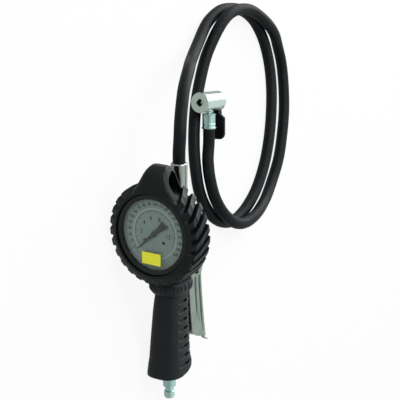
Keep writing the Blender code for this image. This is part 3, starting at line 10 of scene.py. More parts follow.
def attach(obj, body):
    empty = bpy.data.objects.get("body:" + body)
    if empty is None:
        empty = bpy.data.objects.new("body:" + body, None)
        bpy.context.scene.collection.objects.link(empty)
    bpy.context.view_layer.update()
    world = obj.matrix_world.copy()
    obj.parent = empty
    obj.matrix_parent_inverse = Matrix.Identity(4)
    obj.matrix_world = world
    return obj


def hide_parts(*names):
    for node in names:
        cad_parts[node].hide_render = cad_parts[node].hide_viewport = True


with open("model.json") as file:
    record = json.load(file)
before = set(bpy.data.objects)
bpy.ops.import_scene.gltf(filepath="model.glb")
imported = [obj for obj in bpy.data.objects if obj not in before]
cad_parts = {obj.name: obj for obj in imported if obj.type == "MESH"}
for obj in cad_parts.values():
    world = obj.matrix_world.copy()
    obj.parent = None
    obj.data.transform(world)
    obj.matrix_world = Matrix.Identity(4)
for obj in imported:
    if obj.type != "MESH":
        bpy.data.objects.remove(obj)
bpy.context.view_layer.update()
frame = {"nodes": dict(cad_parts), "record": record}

MM = 0.001
TILT = math.radians(12.8311)        # how far the lying tool leans over on its lugs and skirt
FLOOR_POINT = Vector((-0.04955, 0.05741, 0.0))
TOOL_PLACE = FLOOR_POINT + Vector((0.0, 0.0, 0.05479))
# Lays the upright tool on its -X side
LAY = Matrix(((0.0, 1.0, 0.0), (-math.sin(TILT), 0.0, math.cos(TILT)), (math.cos(TILT), 0.0, math.sin(TILT))))
TOOL = Matrix.Translation(TOOL_PLACE) @ LAY.to_4x4()

# ---------------------------------------------------------------- camera

CAMERA_AZIMUTH = math.radians(33.14)
CAMERA_ELEVATION = math.radians(15.8)
CAMERA_ROLL = math.radians(0.3)
CAMERA_DISTANCE = 1.35              # metres
CAMERA_SCALE = 0.989                # pixels per millimetre at that distance
GAUGE_PIXEL = (152.059, 235.069)    # where the gauge's centre lies in the picture
PICTURE_HALF = 200.0                # pixels
SENSOR_WIDTH = 36.0                 # millimetres


def make_camera():
    """The photo's camera, placed in the tool's own frame, so that the tool stands upright in the picture."""
    sin_azimuth, cos_azimuth = math.sin(CAMERA_AZIMUTH), math.cos(CAMERA_AZIMUTH)
    flat = math.cos(CAMERA_ELEVATION)
    away = Vector((sin_azimuth * flat, -cos_azimuth * flat, math.sin(CAMERA_ELEVATION)))
    level = Vector((cos_azimuth, sin_azimuth, 0.0))
    upright = away.cross(level)
    right = level * math.cos(CAMERA_ROLL) + upright * math.sin(CAMERA_ROLL)
    up = upright * math.cos(CAMERA_ROLL) - level * math.sin(CAMERA_ROLL)
    across, down = ((pixel - PICTURE_HALF) / CAMERA_SCALE * MM for pixel in GAUGE_PIXEL)
    place = away * CAMERA_DISTANCE - right * across + up * down
    turn = Matrix((right, up, away)).transposed()
    data = bpy.data.cameras.new("photo_camera")
    data.sensor_width = SENSOR_WIDTH
    data.lens = CAMERA_SCALE * CAMERA_DISTANCE / MM / (2 * PICTURE_HALF) * SENSOR_WIDTH
    data.clip_start, data.clip_end = 0.05, 20.0
    camera = bpy.data.objects.new("photo_camera", data)
    bpy.context.collection.objects.link(camera)
    camera.matrix_world = TOOL @ (Matrix.Translation(place) @ turn.to_4x4())
    bpy.context.scene.camera = camera


make_camera()

# ---------------------------------------------------------------- hose

HOSE_DIAMETER = 0.0134
HOSE_SEAT = 0.0003                  # what the hose's ends keep clear of the two ferrules
HOSE_SPACING = 0.006                # between the points of the finished tube
HOSE_SIDES = 20
CURVE_STEPS = 24                    # between two points of the route
FERRULE_MOUTH = Vector((0.0, 0.0485, 0.0653))   # in the tool's frame
CHUCK = (Matrix.Translation(FLOOR_POINT + Vector((0.1863, 0.1089, 0.0255)))
         @ Euler([math.radians(angle) for angle in (8.0, 5.8, -5.8)]).to_matrix().to_4x4())
CHUCK_MOUTH = Vector((0.0, -0.0305, 0.0))       # in the chuck's frame
# The hose's own points, in metres from the point of the floor under the gauge's centre
HOSE_ROUTE = [
    (0.05, 0.0805, 0.0725), (0.052, 0.092, 0.0745), (0.057, 0.1045, 0.0745), (0.066, 0.1185, 0.073),
    (0.0845, 0.1365, 0.0675), (0.1155, 0.153, 0.056), (0.158, 0.1585, 0.031), (0.201, 0.1745, 0.015),
    (0.2385, 0.1945, 0.0075), (0.269, 0.205, 0.0068), (0.292, 0.2055, 0.0068), (0.312, 0.202, 0.0068),
    (0.33, 0.194, 0.0068), (0.3445, 0.1805, 0.0068), (0.355, 0.1595, 0.0068), (0.3585, 0.133, 0.0068),
    (0.355, 0.1045, 0.0068), (0.3455, 0.076, 0.0068), (0.3315, 0.0475, 0.0068), (0.3135, 0.021, 0.0068),
    (0.2925, -0.001, 0.0068), (0.269, -0.0185, 0.0068), (0.239, -0.032, 0.0068), (0.212, -0.0355, 0.0068),
    (0.1875, -0.0275, 0.0068), (0.1705, -0.0105, 0.0069), (0.1615, 0.012, 0.0076), (0.162, 0.037, 0.0078),
    (0.167, 0.059, 0.0071), (0.1755, 0.083, 0.0068), (0.1875, 0.1085, 0.0069), (0.203, 0.1335, 0.0078),
    (0.2175, 0.156, 0.0106), (0.232, 0.1745, 0.0152), (0.249, 0.1905, 0.0195), (0.2685, 0.2, 0.0211),
    (0.291, 0.2025, 0.0214), (0.316, 0.198, 0.022), (0.342, 0.182, 0.0222), (0.3625, 0.1655, 0.0186),
    (0.3775, 0.1475, 0.0117), (0.3855, 0.125, 0.0079), (0.383, 0.097, 0.0068), (0.3735, 0.067, 0.0068),
    (0.3585, 0.0385, 0.0068), (0.3415, 0.0135, 0.0068), (0.3175, -0.0085, 0.0075), (0.287, -0.026, 0.012),
    (0.2505, -0.036, 0.0194), (0.222, -0.0395, 0.0211), (0.1995, -0.034, 0.0213), (0.1815, -0.0185, 0.0209),
    (0.1715, 0.002, 0.02), (0.1705, 0.0255, 0.0188), (0.1745, 0.044, 0.0178), (0.1785, 0.054, 0.0178),
]


def smooth_course(points, spacing):
    """Evenly spaced points of a smooth curve through the given ones, whose two ends stay straight."""
    dense = [points[0]]
    for a, b, c, d in zip(points, points[1:], points[2:], points[3:]):
        for k in range(CURVE_STEPS):
            t = k / CURVE_STEPS
            dense.append(((b * 2) + (c - a) * t + (a * 2 - b * 5 + c * 4 - d) * t * t
                          + (b * 3 - a - c * 3 + d) * t * t * t) / 2)
    dense += [points[-2], points[-1]]
    lengths = [0.0]
    for a, b in zip(dense, dense[1:]):
        lengths.append(lengths[-1] + (b - a).length)
    count = round(lengths[-1] / spacing)
    course, k = [], 0
    for i in range(count + 1):
        target = lengths[-1] * i / count
        while k < len(lengths) - 2 and lengths[k + 1] < target:
            k += 1
        share = (target - lengths[k]) / max(1e-9, lengths[k + 1] - lengths[k])
        course.append(dense[k].lerp(dense[k + 1], min(1.0, share)))
    return course


def sweep_tube(course, radius, sides):
    """A closed tube round a line of points, with its rings turned as little as they can be."""
    bm = bmesh.new()
    angles = [math.tau * k / sides for k in range(sides)]
    along = (course[1] - course[0]).normalized()
    side = along.orthogonal().normalized()
    rows = []
    for i, place in enumerate(course):
        before, after = course[max(i - 1, 0)], course[min(i + 1, len(course) - 1)]
        turn = along.rotation_difference((after - before).normalized())
        along = (after - before).normalized()
        side = (turn @ side).normalized()
        up = along.cross(side)
        rows.append([bm.verts.new(place + (side * math.cos(a) + up * math.sin(a)) * radius) for a in angles])
    for near, far in zip(rows, rows[1:]):
        for k in range(sides):
            j = (k + 1) % sides
            bm.faces.new((near[k], near[j], far[j], far[k]))
    bm.faces.new(rows[0])
    bm.faces.new(rows[-1])
    bmesh.ops.recalc_face_normals(bm, faces=bm.faces)
    return bm


def make_hose():
    """The rubber hose in one length, from the ferrule on the tool to the ferrule on the chuck."""
    start, out = TOOL @ FERRULE_MOUTH, TOOL.to_3x3() @ Vector((0.0, 0.0, 1.0))
    end, into = CHUCK @ CHUCK_MOUTH, CHUCK.to_3x3() @ Vector((0.0, 1.0, 0.0))
    first, last = start + out * HOSE_SEAT, end - into * HOSE_SEAT
    points = [first, first + out * HOSE_DIAMETER]
    points += [FLOOR_POINT + Vector(point) for point in HOSE_ROUTE]
    points += [last - into * HOSE_DIAMETER, last]
    course = smooth_course(points, HOSE_SPACING)
    bm = sweep_tube(course, HOSE_DIAMETER / 2, HOSE_SIDES)
    mesh = bpy.data.meshes.new("air_hose")
    bm.to_mesh(mesh)
    bm.free()
    mesh.shade_smooth()
    mesh.set_sharp_from_angle(angle=math.radians(40.0))
    hose = bpy.data.objects.new("air_hose", mesh)
    bpy.context.collection.objects.link(hose)
    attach(hose, "tool")
    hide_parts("hose")
    return hose


air_hose = make_hose()

# ---------------------------------------------------------------- materials


def rgb(text):
    """A colour written as a screen colour."""
    values = [int(text[i:i + 2], 16) / 255 for i in (0, 2, 4)]
    return tuple(v / 12.92 if v <= 0.04045 else ((v + 0.055) / 1.055) ** 2.4 for v in values)


class Nodes:
    """Short hand for building a node tree."""

    def __init__(self, tree):
        self.tree = tree

    def add(self, kind, inputs=None, **settings):
        """A node whose inputs are set to values or linked to other nodes' outputs."""
        node = self.tree.nodes.new(kind)
        for name, value in settings.items():
            setattr(node, name, value)
        for key, value in (inputs or {}).items():
            socket = node.inputs[key]
            if isinstance(value, bpy.types.NodeSocket):
                self.tree.links.new(value, socket)
            else:
                socket.default_value = value
        return node

    def link(self, start, end):
        self.tree.links.new(start, end)


GRAIN_DEPTH = 0.0004                # metres


def surface_group():
    """Mottle, fine grain and worn edges, shared by every material; on the boot these edges also paint a
    highlight.
    """
    group = bpy.data.node_groups.new("surface_detail", "ShaderNodeTree")
    for name in ("Colour", "Worn"):
        group.interface.new_socket(name, in_out="INPUT", socket_type="NodeSocketColor")
    for name in ("Mottle", "Mottle size", "Grain", "Grain size", "Wear", "Roughness", "Unevenness"):
        group.interface.new_socket(name, in_out="INPUT", socket_type="NodeSocketFloat")
    for name, kind in (("Colour", "Color"), ("Roughness", "Float"), ("Normal", "Vector")):
        group.interface.new_socket(name, in_out="OUTPUT", socket_type="NodeSocket" + kind)
    n = Nodes(group)
    enter = n.add("NodeGroupInput").outputs
    place = n.add("ShaderNodeTexCoord").outputs["Object"]
    mottle = n.add("ShaderNodeTexNoise", {"Vector": place, "Scale": enter["Mottle size"],
                                          "Detail": 4.0}).outputs["Fac"]
    shade = n.add("ShaderNodeMath", {0: mottle, 1: 0.5}, operation="SUBTRACT").outputs[0]
    shade = n.add("ShaderNodeMath", {0: shade, 1: enter["Mottle"], 2: 1.0},
                  operation="MULTIPLY_ADD").outputs[0]
    grain = n.add("ShaderNodeTexNoise", {"Vector": place, "Scale": enter["Grain size"], "Detail": 3.0,
                                         "Roughness": 0.6}).outputs["Fac"]
    edge = n.add("ShaderNodeNewGeometry").outputs["Pointiness"]
    edge = n.add("ShaderNodeMapRange", {"Value": edge, "From Min": 0.52, "From Max": 0.62}).outputs["Result"]
    chip = n.add("ShaderNodeMapRange", {"Value": mottle, "From Min": 0.35,
                                        "From Max": 0.65}).outputs["Result"]
    worn = n.add("ShaderNodeMath", {0: edge, 1: chip}, operation="MULTIPLY").outputs[0]
    worn = n.add("ShaderNodeMath", {0: worn, 1: enter["Wear"]}, operation="MULTIPLY").outputs[0]
    colour = n.add("ShaderNodeVectorMath", {0: enter["Colour"], "Scale": shade}, operation="SCALE").outputs[0]
    mixed = n.add("ShaderNodeMix", data_type="RGBA")
    n.link(worn, mixed.inputs[0])
    n.link(colour, mixed.inputs[6])
    n.link(enter["Worn"], mixed.inputs[7])
    rough = n.add("ShaderNodeMath", {0: grain, 1: 0.5}, operation="SUBTRACT").outputs[0]
    rough = n.add("ShaderNodeMath", {0: rough, 1: enter["Unevenness"], 2: enter["Roughness"]},
                  operation="MULTIPLY_ADD").outputs[0]
    bump = n.add("ShaderNodeBump", {"Height": grain, "Strength": enter["Grain"],
                                    "Distance": GRAIN_DEPTH}).outputs["Normal"]
    leave = n.add("NodeGroupOutput").inputs
    n.link(mixed.outputs[2], leave["Colour"])
    n.link(rough, leave["Roughness"])
    n.link(bump, leave["Normal"])
    return group


SURFACE = surface_group()


def make_material(name, colour, roughness, metallic=0.0, worn=None, wear=0.0, mottle=0.15, mottle_size=60.0,
                  grain=0.1, grain_size=1500.0, unevenness=0.1, coat=0.0, coat_roughness=0.1, specular=0.5):
    """A material from a colour, a finish and the shared surface detail."""
    material = bpy.data.materials.new(name)
    material.use_nodes = True
    n = Nodes(material.node_tree)
    shader = material.node_tree.nodes["Principled BSDF"]
    worn = colour if worn is None else worn
    detail = n.add("ShaderNodeGroup", node_tree=SURFACE)
    for key, value in (("Colour", (*colour, 1.0)), ("Worn", (*worn, 1.0)), ("Mottle", mottle),
                       ("Mottle size", mottle_size), ("Grain", grain), ("Grain size", grain_size),
                       ("Wear", wear), ("Roughness", roughness), ("Unevenness", unevenness)):
        detail.inputs[key].default_value = value
    n.link(detail.outputs["Colour"], shader.inputs["Base Color"])
    n.link(detail.outputs["Roughness"], shader.inputs["Roughness"])
    n.link(detail.outputs["Normal"], shader.inputs["Normal"])
    shader.inputs["Metallic"].default_value = metallic
    shader.inputs["Specular IOR Level"].default_value = specular
    shader.inputs["Coat Weight"].default_value = coat
    shader.inputs["Coat Roughness"].default_value = coat_roughness
    return material


def make_lens_material():
    """Clear plastic that lets lamp light through to the dial."""
    material = bpy.data.materials.new("clear_lens")
    material.use_nodes = True
    tree = material.node_tree
    n = Nodes(tree)
    shader = tree.nodes["Principled BSDF"]
    shader.inputs["Base Color"].default_value = (0.93, 0.96, 0.95, 1.0)
    shader.inputs["Roughness"].default_value = 0.03
    shader.inputs["Transmission Weight"].default_value = 1.0
    shader.inputs["IOR"].default_value = 1.35
    shadow = n.add("ShaderNodeLightPath").outputs["Is Shadow Ray"]
    clear = n.add("ShaderNodeBsdfTransparent", {"Color": (0.92, 0.95, 0.94, 1.0)}).outputs[0]
    mix = n.add("ShaderNodeMixShader", {0: shadow, 1: shader.outputs[0], 2: clear})
    n.link(mix.outputs[0], tree.nodes["Material Output"].inputs["Surface"])
    return material


MATERIALS = {
    # The boot's lighter worn edges are partly edge wear and partly a painted highlight along its rims
    "boot_rubber": make_material("boot_rubber", rgb("0b1112"), 0.36, worn=rgb("2c3637"), wear=0.6,
                                 mottle=0.25, grain=0.12, grain_size=2500.0, specular=0.2),
    "grip_rubber": make_material("grip_rubber", rgb("141a1c"), 0.46, worn=rgb("2e383a"), wear=0.4, mottle=0.2,
                                 grain=0.18, grain_size=2200.0, specular=0.2),
    # Painted shade for the floors of the grip's slots
    "slot_painted_shade": make_material("slot_painted_shade", rgb("050606"), 0.8, mottle=0.2, grain=0.1, specular=0.05),
    "black_gloss": make_material("black_gloss", rgb("0b0e0e"), 0.2, worn=rgb("3a403f"), wear=0.3, mottle=0.1,
                                 grain=0.02, specular=0.25, coat=0.1),
    "hose_rubber": make_material("hose_rubber", rgb("0a1113"), 0.5, worn=rgb("223032"), wear=0.2, mottle=0.3,
                                 mottle_size=40.0, grain=0.25, grain_size=3000.0, specular=0.13),
    "seal_rubber": make_material("seal_rubber", rgb("1c2522"), 0.7, mottle=0.2, specular=0.3),
    "dial_grey": make_material("dial_grey", rgb("8a9b94"), 0.6, mottle=0.06, grain=0.02, specular=0.2),
    "dial_print": make_material("dial_print", rgb("0e1311"), 0.6, mottle=0.1, grain=0.0),
    "dial_line": make_material("dial_line", rgb("b4c3bb"), 0.6, mottle=0.1, grain=0.0),
    "pointer_black": make_material("pointer_black", rgb("303a35"), 0.5, mottle=0.1, grain=0.05, specular=0.3),
    "sticker_yellow": make_material("sticker_yellow", rgb("f4f22c"), 0.45, mottle=0.04, grain=0.04),
    "lever_steel": make_material("lever_steel", rgb("84948b"), 0.34, metallic=1.0, worn=rgb("aebbb3"),
                                 wear=0.5, mottle=0.12, grain=0.06, grain_size=900.0),
    # Painted shade for the dark strips beside the lever's bead
    "lever_painted_shade": make_material("lever_painted_shade", rgb("3e4c48"), 0.5, metallic=0.6, mottle=0.15, grain=0.1),
    "nickel": make_material("nickel", rgb("98a29b"), 0.16, metallic=1.0, worn=rgb("c8ccc6"), wear=0.4,
                            mottle=0.1, grain=0.03),
    # Painted shade: dark metal laid on the floors of the ferrule's crimp channels
    "crimp_painted_shade": make_material("crimp_painted_shade", rgb("1f2422"), 0.4, metallic=0.8, mottle=0.15, grain=0.05),
    "zinc": make_material("zinc", rgb("a8cbc4"), 0.28, metallic=1.0, worn=rgb("d0dedb"), wear=0.5,
                          mottle=0.15, grain=0.06),
    "satin_aluminium": make_material("satin_aluminium", rgb("bacfc5"), 0.24, metallic=1.0, worn=rgb("dfe8e3"),
                                     wear=0.3, mottle=0.06, grain=0.05, grain_size=1200.0),
    "cast_aluminium": make_material("cast_aluminium", rgb("647471"), 0.42, metallic=1.0, worn=rgb("a9b6b3"),
                                    wear=0.5, mottle=0.2, grain=0.3, grain_size=1800.0),
    "brass": make_material("brass", rgb("b09a5c"), 0.35, metallic=1.0, mottle=0.15, grain=0.05),
    "case_black": make_material("case_black", rgb("141717"), 0.4, mottle=0.1, grain=0.1, specular=0.3),
    "black_plastic": make_material("black_plastic", rgb("0a0b0c"), 0.4, worn=rgb("2c3030"), wear=0.4,
                                   mottle=0.1, grain=0.15, grain_size=2500.0, specular=0.2),
    "clear_lens": make_lens_material(),
}
# Nodes that look unlike the rest of their slot
NODE_FINISHES = {"push_pin": "zinc", "dial_screw_left": "dial_print", "dial_screw_right": "dial_print"}

for subpart in frame["record"]["subparts"]:
    finish = NODE_FINISHES.get(subpart["node"], subpart["material_slot"])
    for slot in frame["nodes"][subpart["node"]].material_slots:
        slot.material = MATERIALS[finish]
air_hose.data.materials.append(MATERIALS["hose_rubber"])

# ---------------------------------------------------------------- pieces


def add_piece(name, bm, material, body="tool", angle=35.0):
    """A piece built in the tool's frame, that rides on a body."""
    bmesh.ops.recalc_face_normals(bm, faces=bm.faces)
    mesh = bpy.data.meshes.new(name)
    bm.to_mesh(mesh)
    bm.free()
    mesh.transform(TOOL)
    obj = bpy.data.objects.new(name, mesh)
    bpy.context.collection.objects.link(obj)
    mesh.materials.append(MATERIALS[material])
    mesh.shade_smooth()
    mesh.set_sharp_from_angle(angle=math.radians(angle))
    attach(obj, body)
    return obj


# ---------------------------------------------------------------- dial print

PRINT_BACK = 5.5            # millimetres behind the lens plane, the dial's own face
PRINT_FRONT = PRINT_BACK - 0.06
PRINT_LOW = PRINT_BACK - 0.005
PRINT_BOLD = 0.11           # added to each side of a number's strokes
DIGIT_SHARE = 0.7           # of the type's size, that its digits are high
SCALE_START, SCALE_END = 215.0, -35.0   # degrees from the right, seen from the front
# How many numbered steps, the degrees and ticks of one step and what it counts, the numbers' radius and
# height, inner radius and width of the ticks at the numbers and between them, and the ticks' outer radius
SCALES = [
    {"steps": 20, "turn": 12.5, "ticks": 5, "counts": 10, "number": (31.0, 2.9), "long": (33.4, 0.45),
     "short": (34.6, 0.25), "outer": 36.2},
    {"steps": 6, "turn": 36.25, "ticks": 10, "counts": 2, "number": (16.6, 4.2), "long": (21.6, 0.5),
     "short": (23.0, 0.25), "outer": 24.4},
]
ARC_RADIUS, ARC_WIDTH, ARC_STEPS = 24.5, 0.3, 90
RING_RADIUS, RING_WIDTH, RING_STEPS = 26.2, 0.9, 120
RING_START, RING_END = -140.0, 219.9    # its two ends stay a hair apart


def dial_point(radius, angle, depth):
    """A point of the dial, by its radius, its angle from the right and its depth in millimetres."""
    turn = math.radians(angle)
    return Vector((radius * math.cos(turn), depth, radius * math.sin(turn))) * MM


def add_bar(bm, inner, outer, angle, width):
    """A printed tick along a radius."""
    side = math.degrees(width / 2 / ((inner + outer) / 2))
    corners = [(inner, angle - side), (outer, angle - side), (outer, angle + side), (inner, angle + side)]
    front = [bm.verts.new(dial_point(r, a, PRINT_FRONT)) for r, a in corners]
    back = [bm.verts.new(dial_point(r, a, PRINT_LOW)) for r, a in corners]
    bm.faces.new(front)
    bm.faces.new(back)
    for i in range(4):
        j = (i + 1) % 4
        bm.faces.new((front[i], front[j], back[j], back[i]))


def add_arc(bm, radius, width, start, end, steps):
    """A printed line round part of the dial."""
    inner, outer = radius - width / 2, radius + width / 2
    section = [(inner, PRINT_FRONT), (outer, PRINT_FRONT), (outer, PRINT_LOW), (inner, PRINT_LOW)]
    rows = []
    for k in range(steps + 1):
        angle = start + (end - start) * k / steps
        rows.append([bm.verts.new(dial_point(r, angle, y)) for r, y in section])
    for near, far in zip(rows, rows[1:]):
        for i in range(4):
            j = (i + 1) % 4
            bm.faces.new((near[i], near[j], far[j], far[i]))
    bm.faces.new(rows[0])
    bm.faces.new(rows[-1])


def add_number(bm, text, radius, angle, height):
    """A printed number, upright on the dial."""
    curve = bpy.data.curves.new("number", "FONT")
    curve.body = text
    curve.size = height / DIGIT_SHARE * MM
    curve.align_x = "CENTER"
    curve.align_y = "CENTER"
    curve.extrude = (PRINT_BACK - PRINT_FRONT) / 2 * MM
    curve.resolution_u = 3
    curve.offset = PRINT_BOLD * MM
    obj = bpy.data.objects.new("number", curve)
    bpy.context.collection.objects.link(obj)
    mesh = obj.to_mesh()
    face_front = Matrix(((1, 0, 0), (0, 0, -1), (0, 1, 0))).to_4x4()
    middle = dial_point(radius, angle, (PRINT_BACK + PRINT_FRONT) / 2)
    mesh.transform(Matrix.Translation(middle) @ face_front)
    bm.from_mesh(mesh)
    obj.to_mesh_clear()
    bpy.data.objects.remove(obj)
    bpy.data.curves.remove(curve)


def make_dial_print():
    """The two scales with their numbers and ticks, and the pale line between them."""
    numbers, ticks, ring = bmesh.new(), bmesh.new(), bmesh.new()
    for scale in SCALES:
        radius, height = scale["number"]
        for k in range(scale["steps"] + 1):
            add_number(numbers, str(k * scale["counts"]), radius, SCALE_START - k * scale["turn"], height)
        for k in range(scale["steps"] * scale["ticks"] + 1):
            inner, width = scale["short"] if k % scale["ticks"] else scale["long"]
            add_bar(ticks, inner, scale["outer"], SCALE_START - k * scale["turn"] / scale["ticks"], width)
    add_arc(ticks, ARC_RADIUS, ARC_WIDTH, SCALE_START, SCALE_END, ARC_STEPS)
    add_arc(ring, RING_RADIUS, RING_WIDTH, RING_START, RING_END, RING_STEPS)
    add_piece("dial_numbers", numbers, "dial_print")
    add_piece("dial_ticks", ticks, "dial_print")
    add_piece("dial_ring", ring, "dial_line")


make_dial_print()

# ---------------------------------------------------------------- grip details

GRIP_TOP = -55.6            # millimetres in the tool's frame, as are the rest of these
GRIP_SQUARENESS = 2.7
GRIP_SIDES = 28
SLOT_FIRST, SLOT_PITCH, SLOT_COUNT = -79.0, 9.9, 8
SLOT_DEPTH, SLOT_FLAT, SLOT_HALF = 2.0, 1.05, 2.1
SLOT_SLANT = 0.14
SLANT_TOP, SLANT_BOTTOM, SLANT_BLEND = 14.0, 18.0, 8.0    # where the slots' slant sets in, from both ends
PANEL_ANGLE, PANEL_BLEND = 62.0, 22.0                     # degrees from the front
SKIRT_RISE, SKIRT_LEVEL_Y, SKIRT_BLEND = 12.5, 20.0, 25.0
# Height from the grip's top, half width, half depth and centre of its section
GRIP_SECTIONS = [(0.0, 19.0, 21.0, 33.5), (-2.4, 20.0, 22.0, 33.5), (-10.4, 19.6, 21.8, 33.8),
                 (-13.9, 17.0, 20.0, 34.5), (-16.4, 15.0, 18.0, 35.0), (-24.4, 15.5, 18.6, 34.0),
                 (-34.4, 16.0, 19.2, 33.0), (-44.4, 16.5, 19.8, 32.6), (-64.4, 17.5, 21.0, 31.8),
                 (-84.4, 18.5, 22.2, 31.4), (-92.4, 19.3, 23.2, 31.0), (-100.4, 20.0, 24.5, 31.0),
                 (-104.1, 20.0, 24.5, 31.0)]
FLOOR_HALF, FLOOR_PROUD, FLOOR_SUNK = 1.75, 0.1, 0.4
FLOOR_HEIGHT = -100.0                   # where the turn of the mesh columns is measured
FLOOR_START, FLOOR_END = 86.0, 140.0    # degrees from the front
# Height from the grip's top, and how far the collar's bars stand out there
RIB_LEVELS = [(-2.6, 0.1), (-3.2, 0.7), (-8.8, 0.7), (-9.6, 0.1)]
RIB_SUNK = 0.5
RIB_EDGES, RIB_ROOTS = (0.22, 0.70), (0.16, 0.76)         # shares of a mesh column's width


def smooth_step(value):
    """A step from 0 to 1 that starts and ends softly."""
    value = min(1.0, max(0.0, value))
    return value * value * (3.0 - 2.0 * value)


def grip_section(height):
    """Half width, half depth and centre of the grip at a height of the tool's frame."""
    level = height - GRIP_TOP
    for upper, lower in zip(GRIP_SECTIONS, GRIP_SECTIONS[1:]):
        if level >= lower[0]:
            share = (upper[0] - level) / (upper[0] - lower[0])
            return [a + (b - a) * share for a, b in zip(upper[1:], lower[1:])]
    return list(GRIP_SECTIONS[-1][1:])


def grip_point(height, column, inward):
    """A point of the grip at a mesh column, drawn in by some millimetres, and its degrees from the front."""
    half_x, half_y, centre = grip_section(height)
    angle = math.tau * (column + 0.5) / GRIP_SIDES
    c, s = math.cos(angle), math.sin(angle)
    x = math.copysign(abs(c) ** (2 / GRIP_SQUARENESS), c) * half_x
    y = math.copysign(abs(s) ** (2 / GRIP_SQUARENESS), s) * half_y
    from_front = abs(math.degrees(math.atan2(x, -y)))
    share = smooth_step((from_front - PANEL_ANGLE) / PANEL_BLEND)
    bottom = GRIP_TOP + GRIP_SECTIONS[-1][0]
    ends = (smooth_step((GRIP_TOP - height - SLANT_TOP) / SLANT_BLEND)
            * smooth_step((height - bottom - SLANT_BOTTOM) / SLANT_BLEND))
    low_half, low_centre = GRIP_SECTIONS[-1][2], GRIP_SECTIONS[-1][3]
    blend = 1.0 - min(1.0, (height - bottom) / SKIRT_BLEND)
    back = max(0.0, centre + y - SKIRT_LEVEL_Y) / (low_centre + low_half - SKIRT_LEVEL_Y)
    rise = SLOT_SLANT * y * share * ends + SKIRT_RISE * blend * back * back
    inner = 1.0 - inward / math.hypot(x, y)
    return Vector((x * inner, centre + y * inner, height + rise)) * MM, from_front


def add_sheet(bm, rows, under):
    """A thin closed pad between rows of points and the same rows further in."""
    top = [[bm.verts.new(point) for point in row] for row in rows]
    low = [[bm.verts.new(point) for point in row] for row in under]
    tall, wide = len(top) - 1, len(top[0]) - 1
    for i in range(tall):
        for k in range(wide):
            bm.faces.new((top[i][k], top[i][k + 1], top[i + 1][k + 1], top[i + 1][k]))
            bm.faces.new((low[i][k], low[i + 1][k], low[i + 1][k + 1], low[i][k + 1]))
    for k in range(wide):
        bm.faces.new((top[0][k], low[0][k], low[0][k + 1], top[0][k + 1]))
        bm.faces.new((top[tall][k], top[tall][k + 1], low[tall][k + 1], low[tall][k]))
    for i in range(tall):
        bm.faces.new((top[i][0], top[i + 1][0], low[i + 1][0], low[i][0]))
        bm.faces.new((top[i][wide], low[i][wide], low[i + 1][wide], top[i + 1][wide]))


def slot_inward(away):
    """How deep the grip's slot is at a height from its middle."""
    away = abs(away)
    if away <= SLOT_FLAT:
        return SLOT_DEPTH
    return SLOT_DEPTH * max(0.0, (SLOT_HALF - away) / (SLOT_HALF - SLOT_FLAT))


def make_slot_shade_floors():
    """Near-black sheets of painted shade on the floors of the grip's side slots, one row on each side."""
    bm = bmesh.new()
    kept = [k for k in range(GRIP_SIDES) if FLOOR_START < grip_point(FLOOR_HEIGHT, k, 0.0)[1] < FLOOR_END]
    right = [k for k in kept if math.cos(math.tau * (k + 0.5) / GRIP_SIDES) > 0.0]
    left = [k for k in kept if k not in right]
    for columns in (right, left):
        for slot in range(SLOT_COUNT):
            rows, under = [], []
            for away in (FLOOR_HALF, SLOT_FLAT, 0.0, -SLOT_FLAT, -FLOOR_HALF):
                height, inward = SLOT_FIRST - slot * SLOT_PITCH + away, slot_inward(away)
                rows.append([grip_point(height, k, inward - FLOOR_PROUD)[0] for k in columns])
                under.append([grip_point(height, k, inward + FLOOR_SUNK)[0] for k in columns])
            add_sheet(bm, rows, under)
    add_piece("grip_slot_painted_shade", bm, "slot_painted_shade")


def rib_row(level, column, inward, shares):
    """Two points of a collar bar, between one mesh column and the next."""
    near, far = (grip_point(GRIP_TOP + level, k, inward)[0] for k in (column, column + 1))
    return [near.lerp(far, share) for share in shares]


def make_collar_ribs():
    """Upright bars round the grip's collar."""
    bm = bmesh.new()
    for column in range(GRIP_SIDES):
        rows = [rib_row(level, column, -proud, RIB_EDGES) for level, proud in RIB_LEVELS]
        under = [rib_row(level, column, RIB_SUNK, RIB_ROOTS) for level, proud in RIB_LEVELS]
        add_sheet(bm, rows, under)
    add_piece("grip_collar_ribs", bm, "grip_rubber")


make_slot_shade_floors()
make_collar_ribs()

# ---------------------------------------------------------------- lever details

LEVER_HALF = 4.5                # half the width over the flanges
# Back and front edges of the lever's flanges: y, and height from the grip's top
LEVER_BACK_EDGE = [(86.6, -1.9), (84.4, -7.9), (84.9, -16.4), (86.4, -30.4), (88.8, -48.4), (91.0, -64.4),
                   (93.0, -76.4)]
LEVER_FRONT_EDGE = [(67.2, -3.4), (63.2, -7.9), (61.4, -14.4), (62.3, -24.7), (64.8, -48.0), (67.5, -67.9),
                    (74.0, -76.1)]
# Shares of the way from the front edge to the back one, then the heights of the two ends
# The two dark lines are painted shade: strips laid barely proud of each flange beside the bead
PAINTED_SHADE_LINES = [(0.43, 0.54, -9.0, -58.0), (0.76, 0.88, -9.0, -75.5)]
PRESSED_BEAD = (0.56, 0.74, -9.0, -62.0)
LINE_PROUD, BEAD_PROUD, LINE_SUNK = 0.08, 0.6, 0.3
LINE_STEPS, TAPER_STEPS, TAPER_SHARE = 12, 4, 0.85


def edge_at(table, height):
    """How far back an edge of the lever lies at a height."""
    for (y0, z0), (y1, z1) in zip(table, table[1:]):
        if z1 <= height <= z0:
            return y0 + (y1 - y0) * (z0 - height) / (z0 - z1)
    return table[0][0] if height > table[0][1] else table[-1][0]


def flange_point(side, share, height, proud):
    """A point on a flange of the lever, lifted off it by some millimetres."""
    front, back = edge_at(LEVER_FRONT_EDGE, height), edge_at(LEVER_BACK_EDGE, height)
    return Vector((side * (LEVER_HALF + proud), front + (back - front) * share, GRIP_TOP + height)) * MM


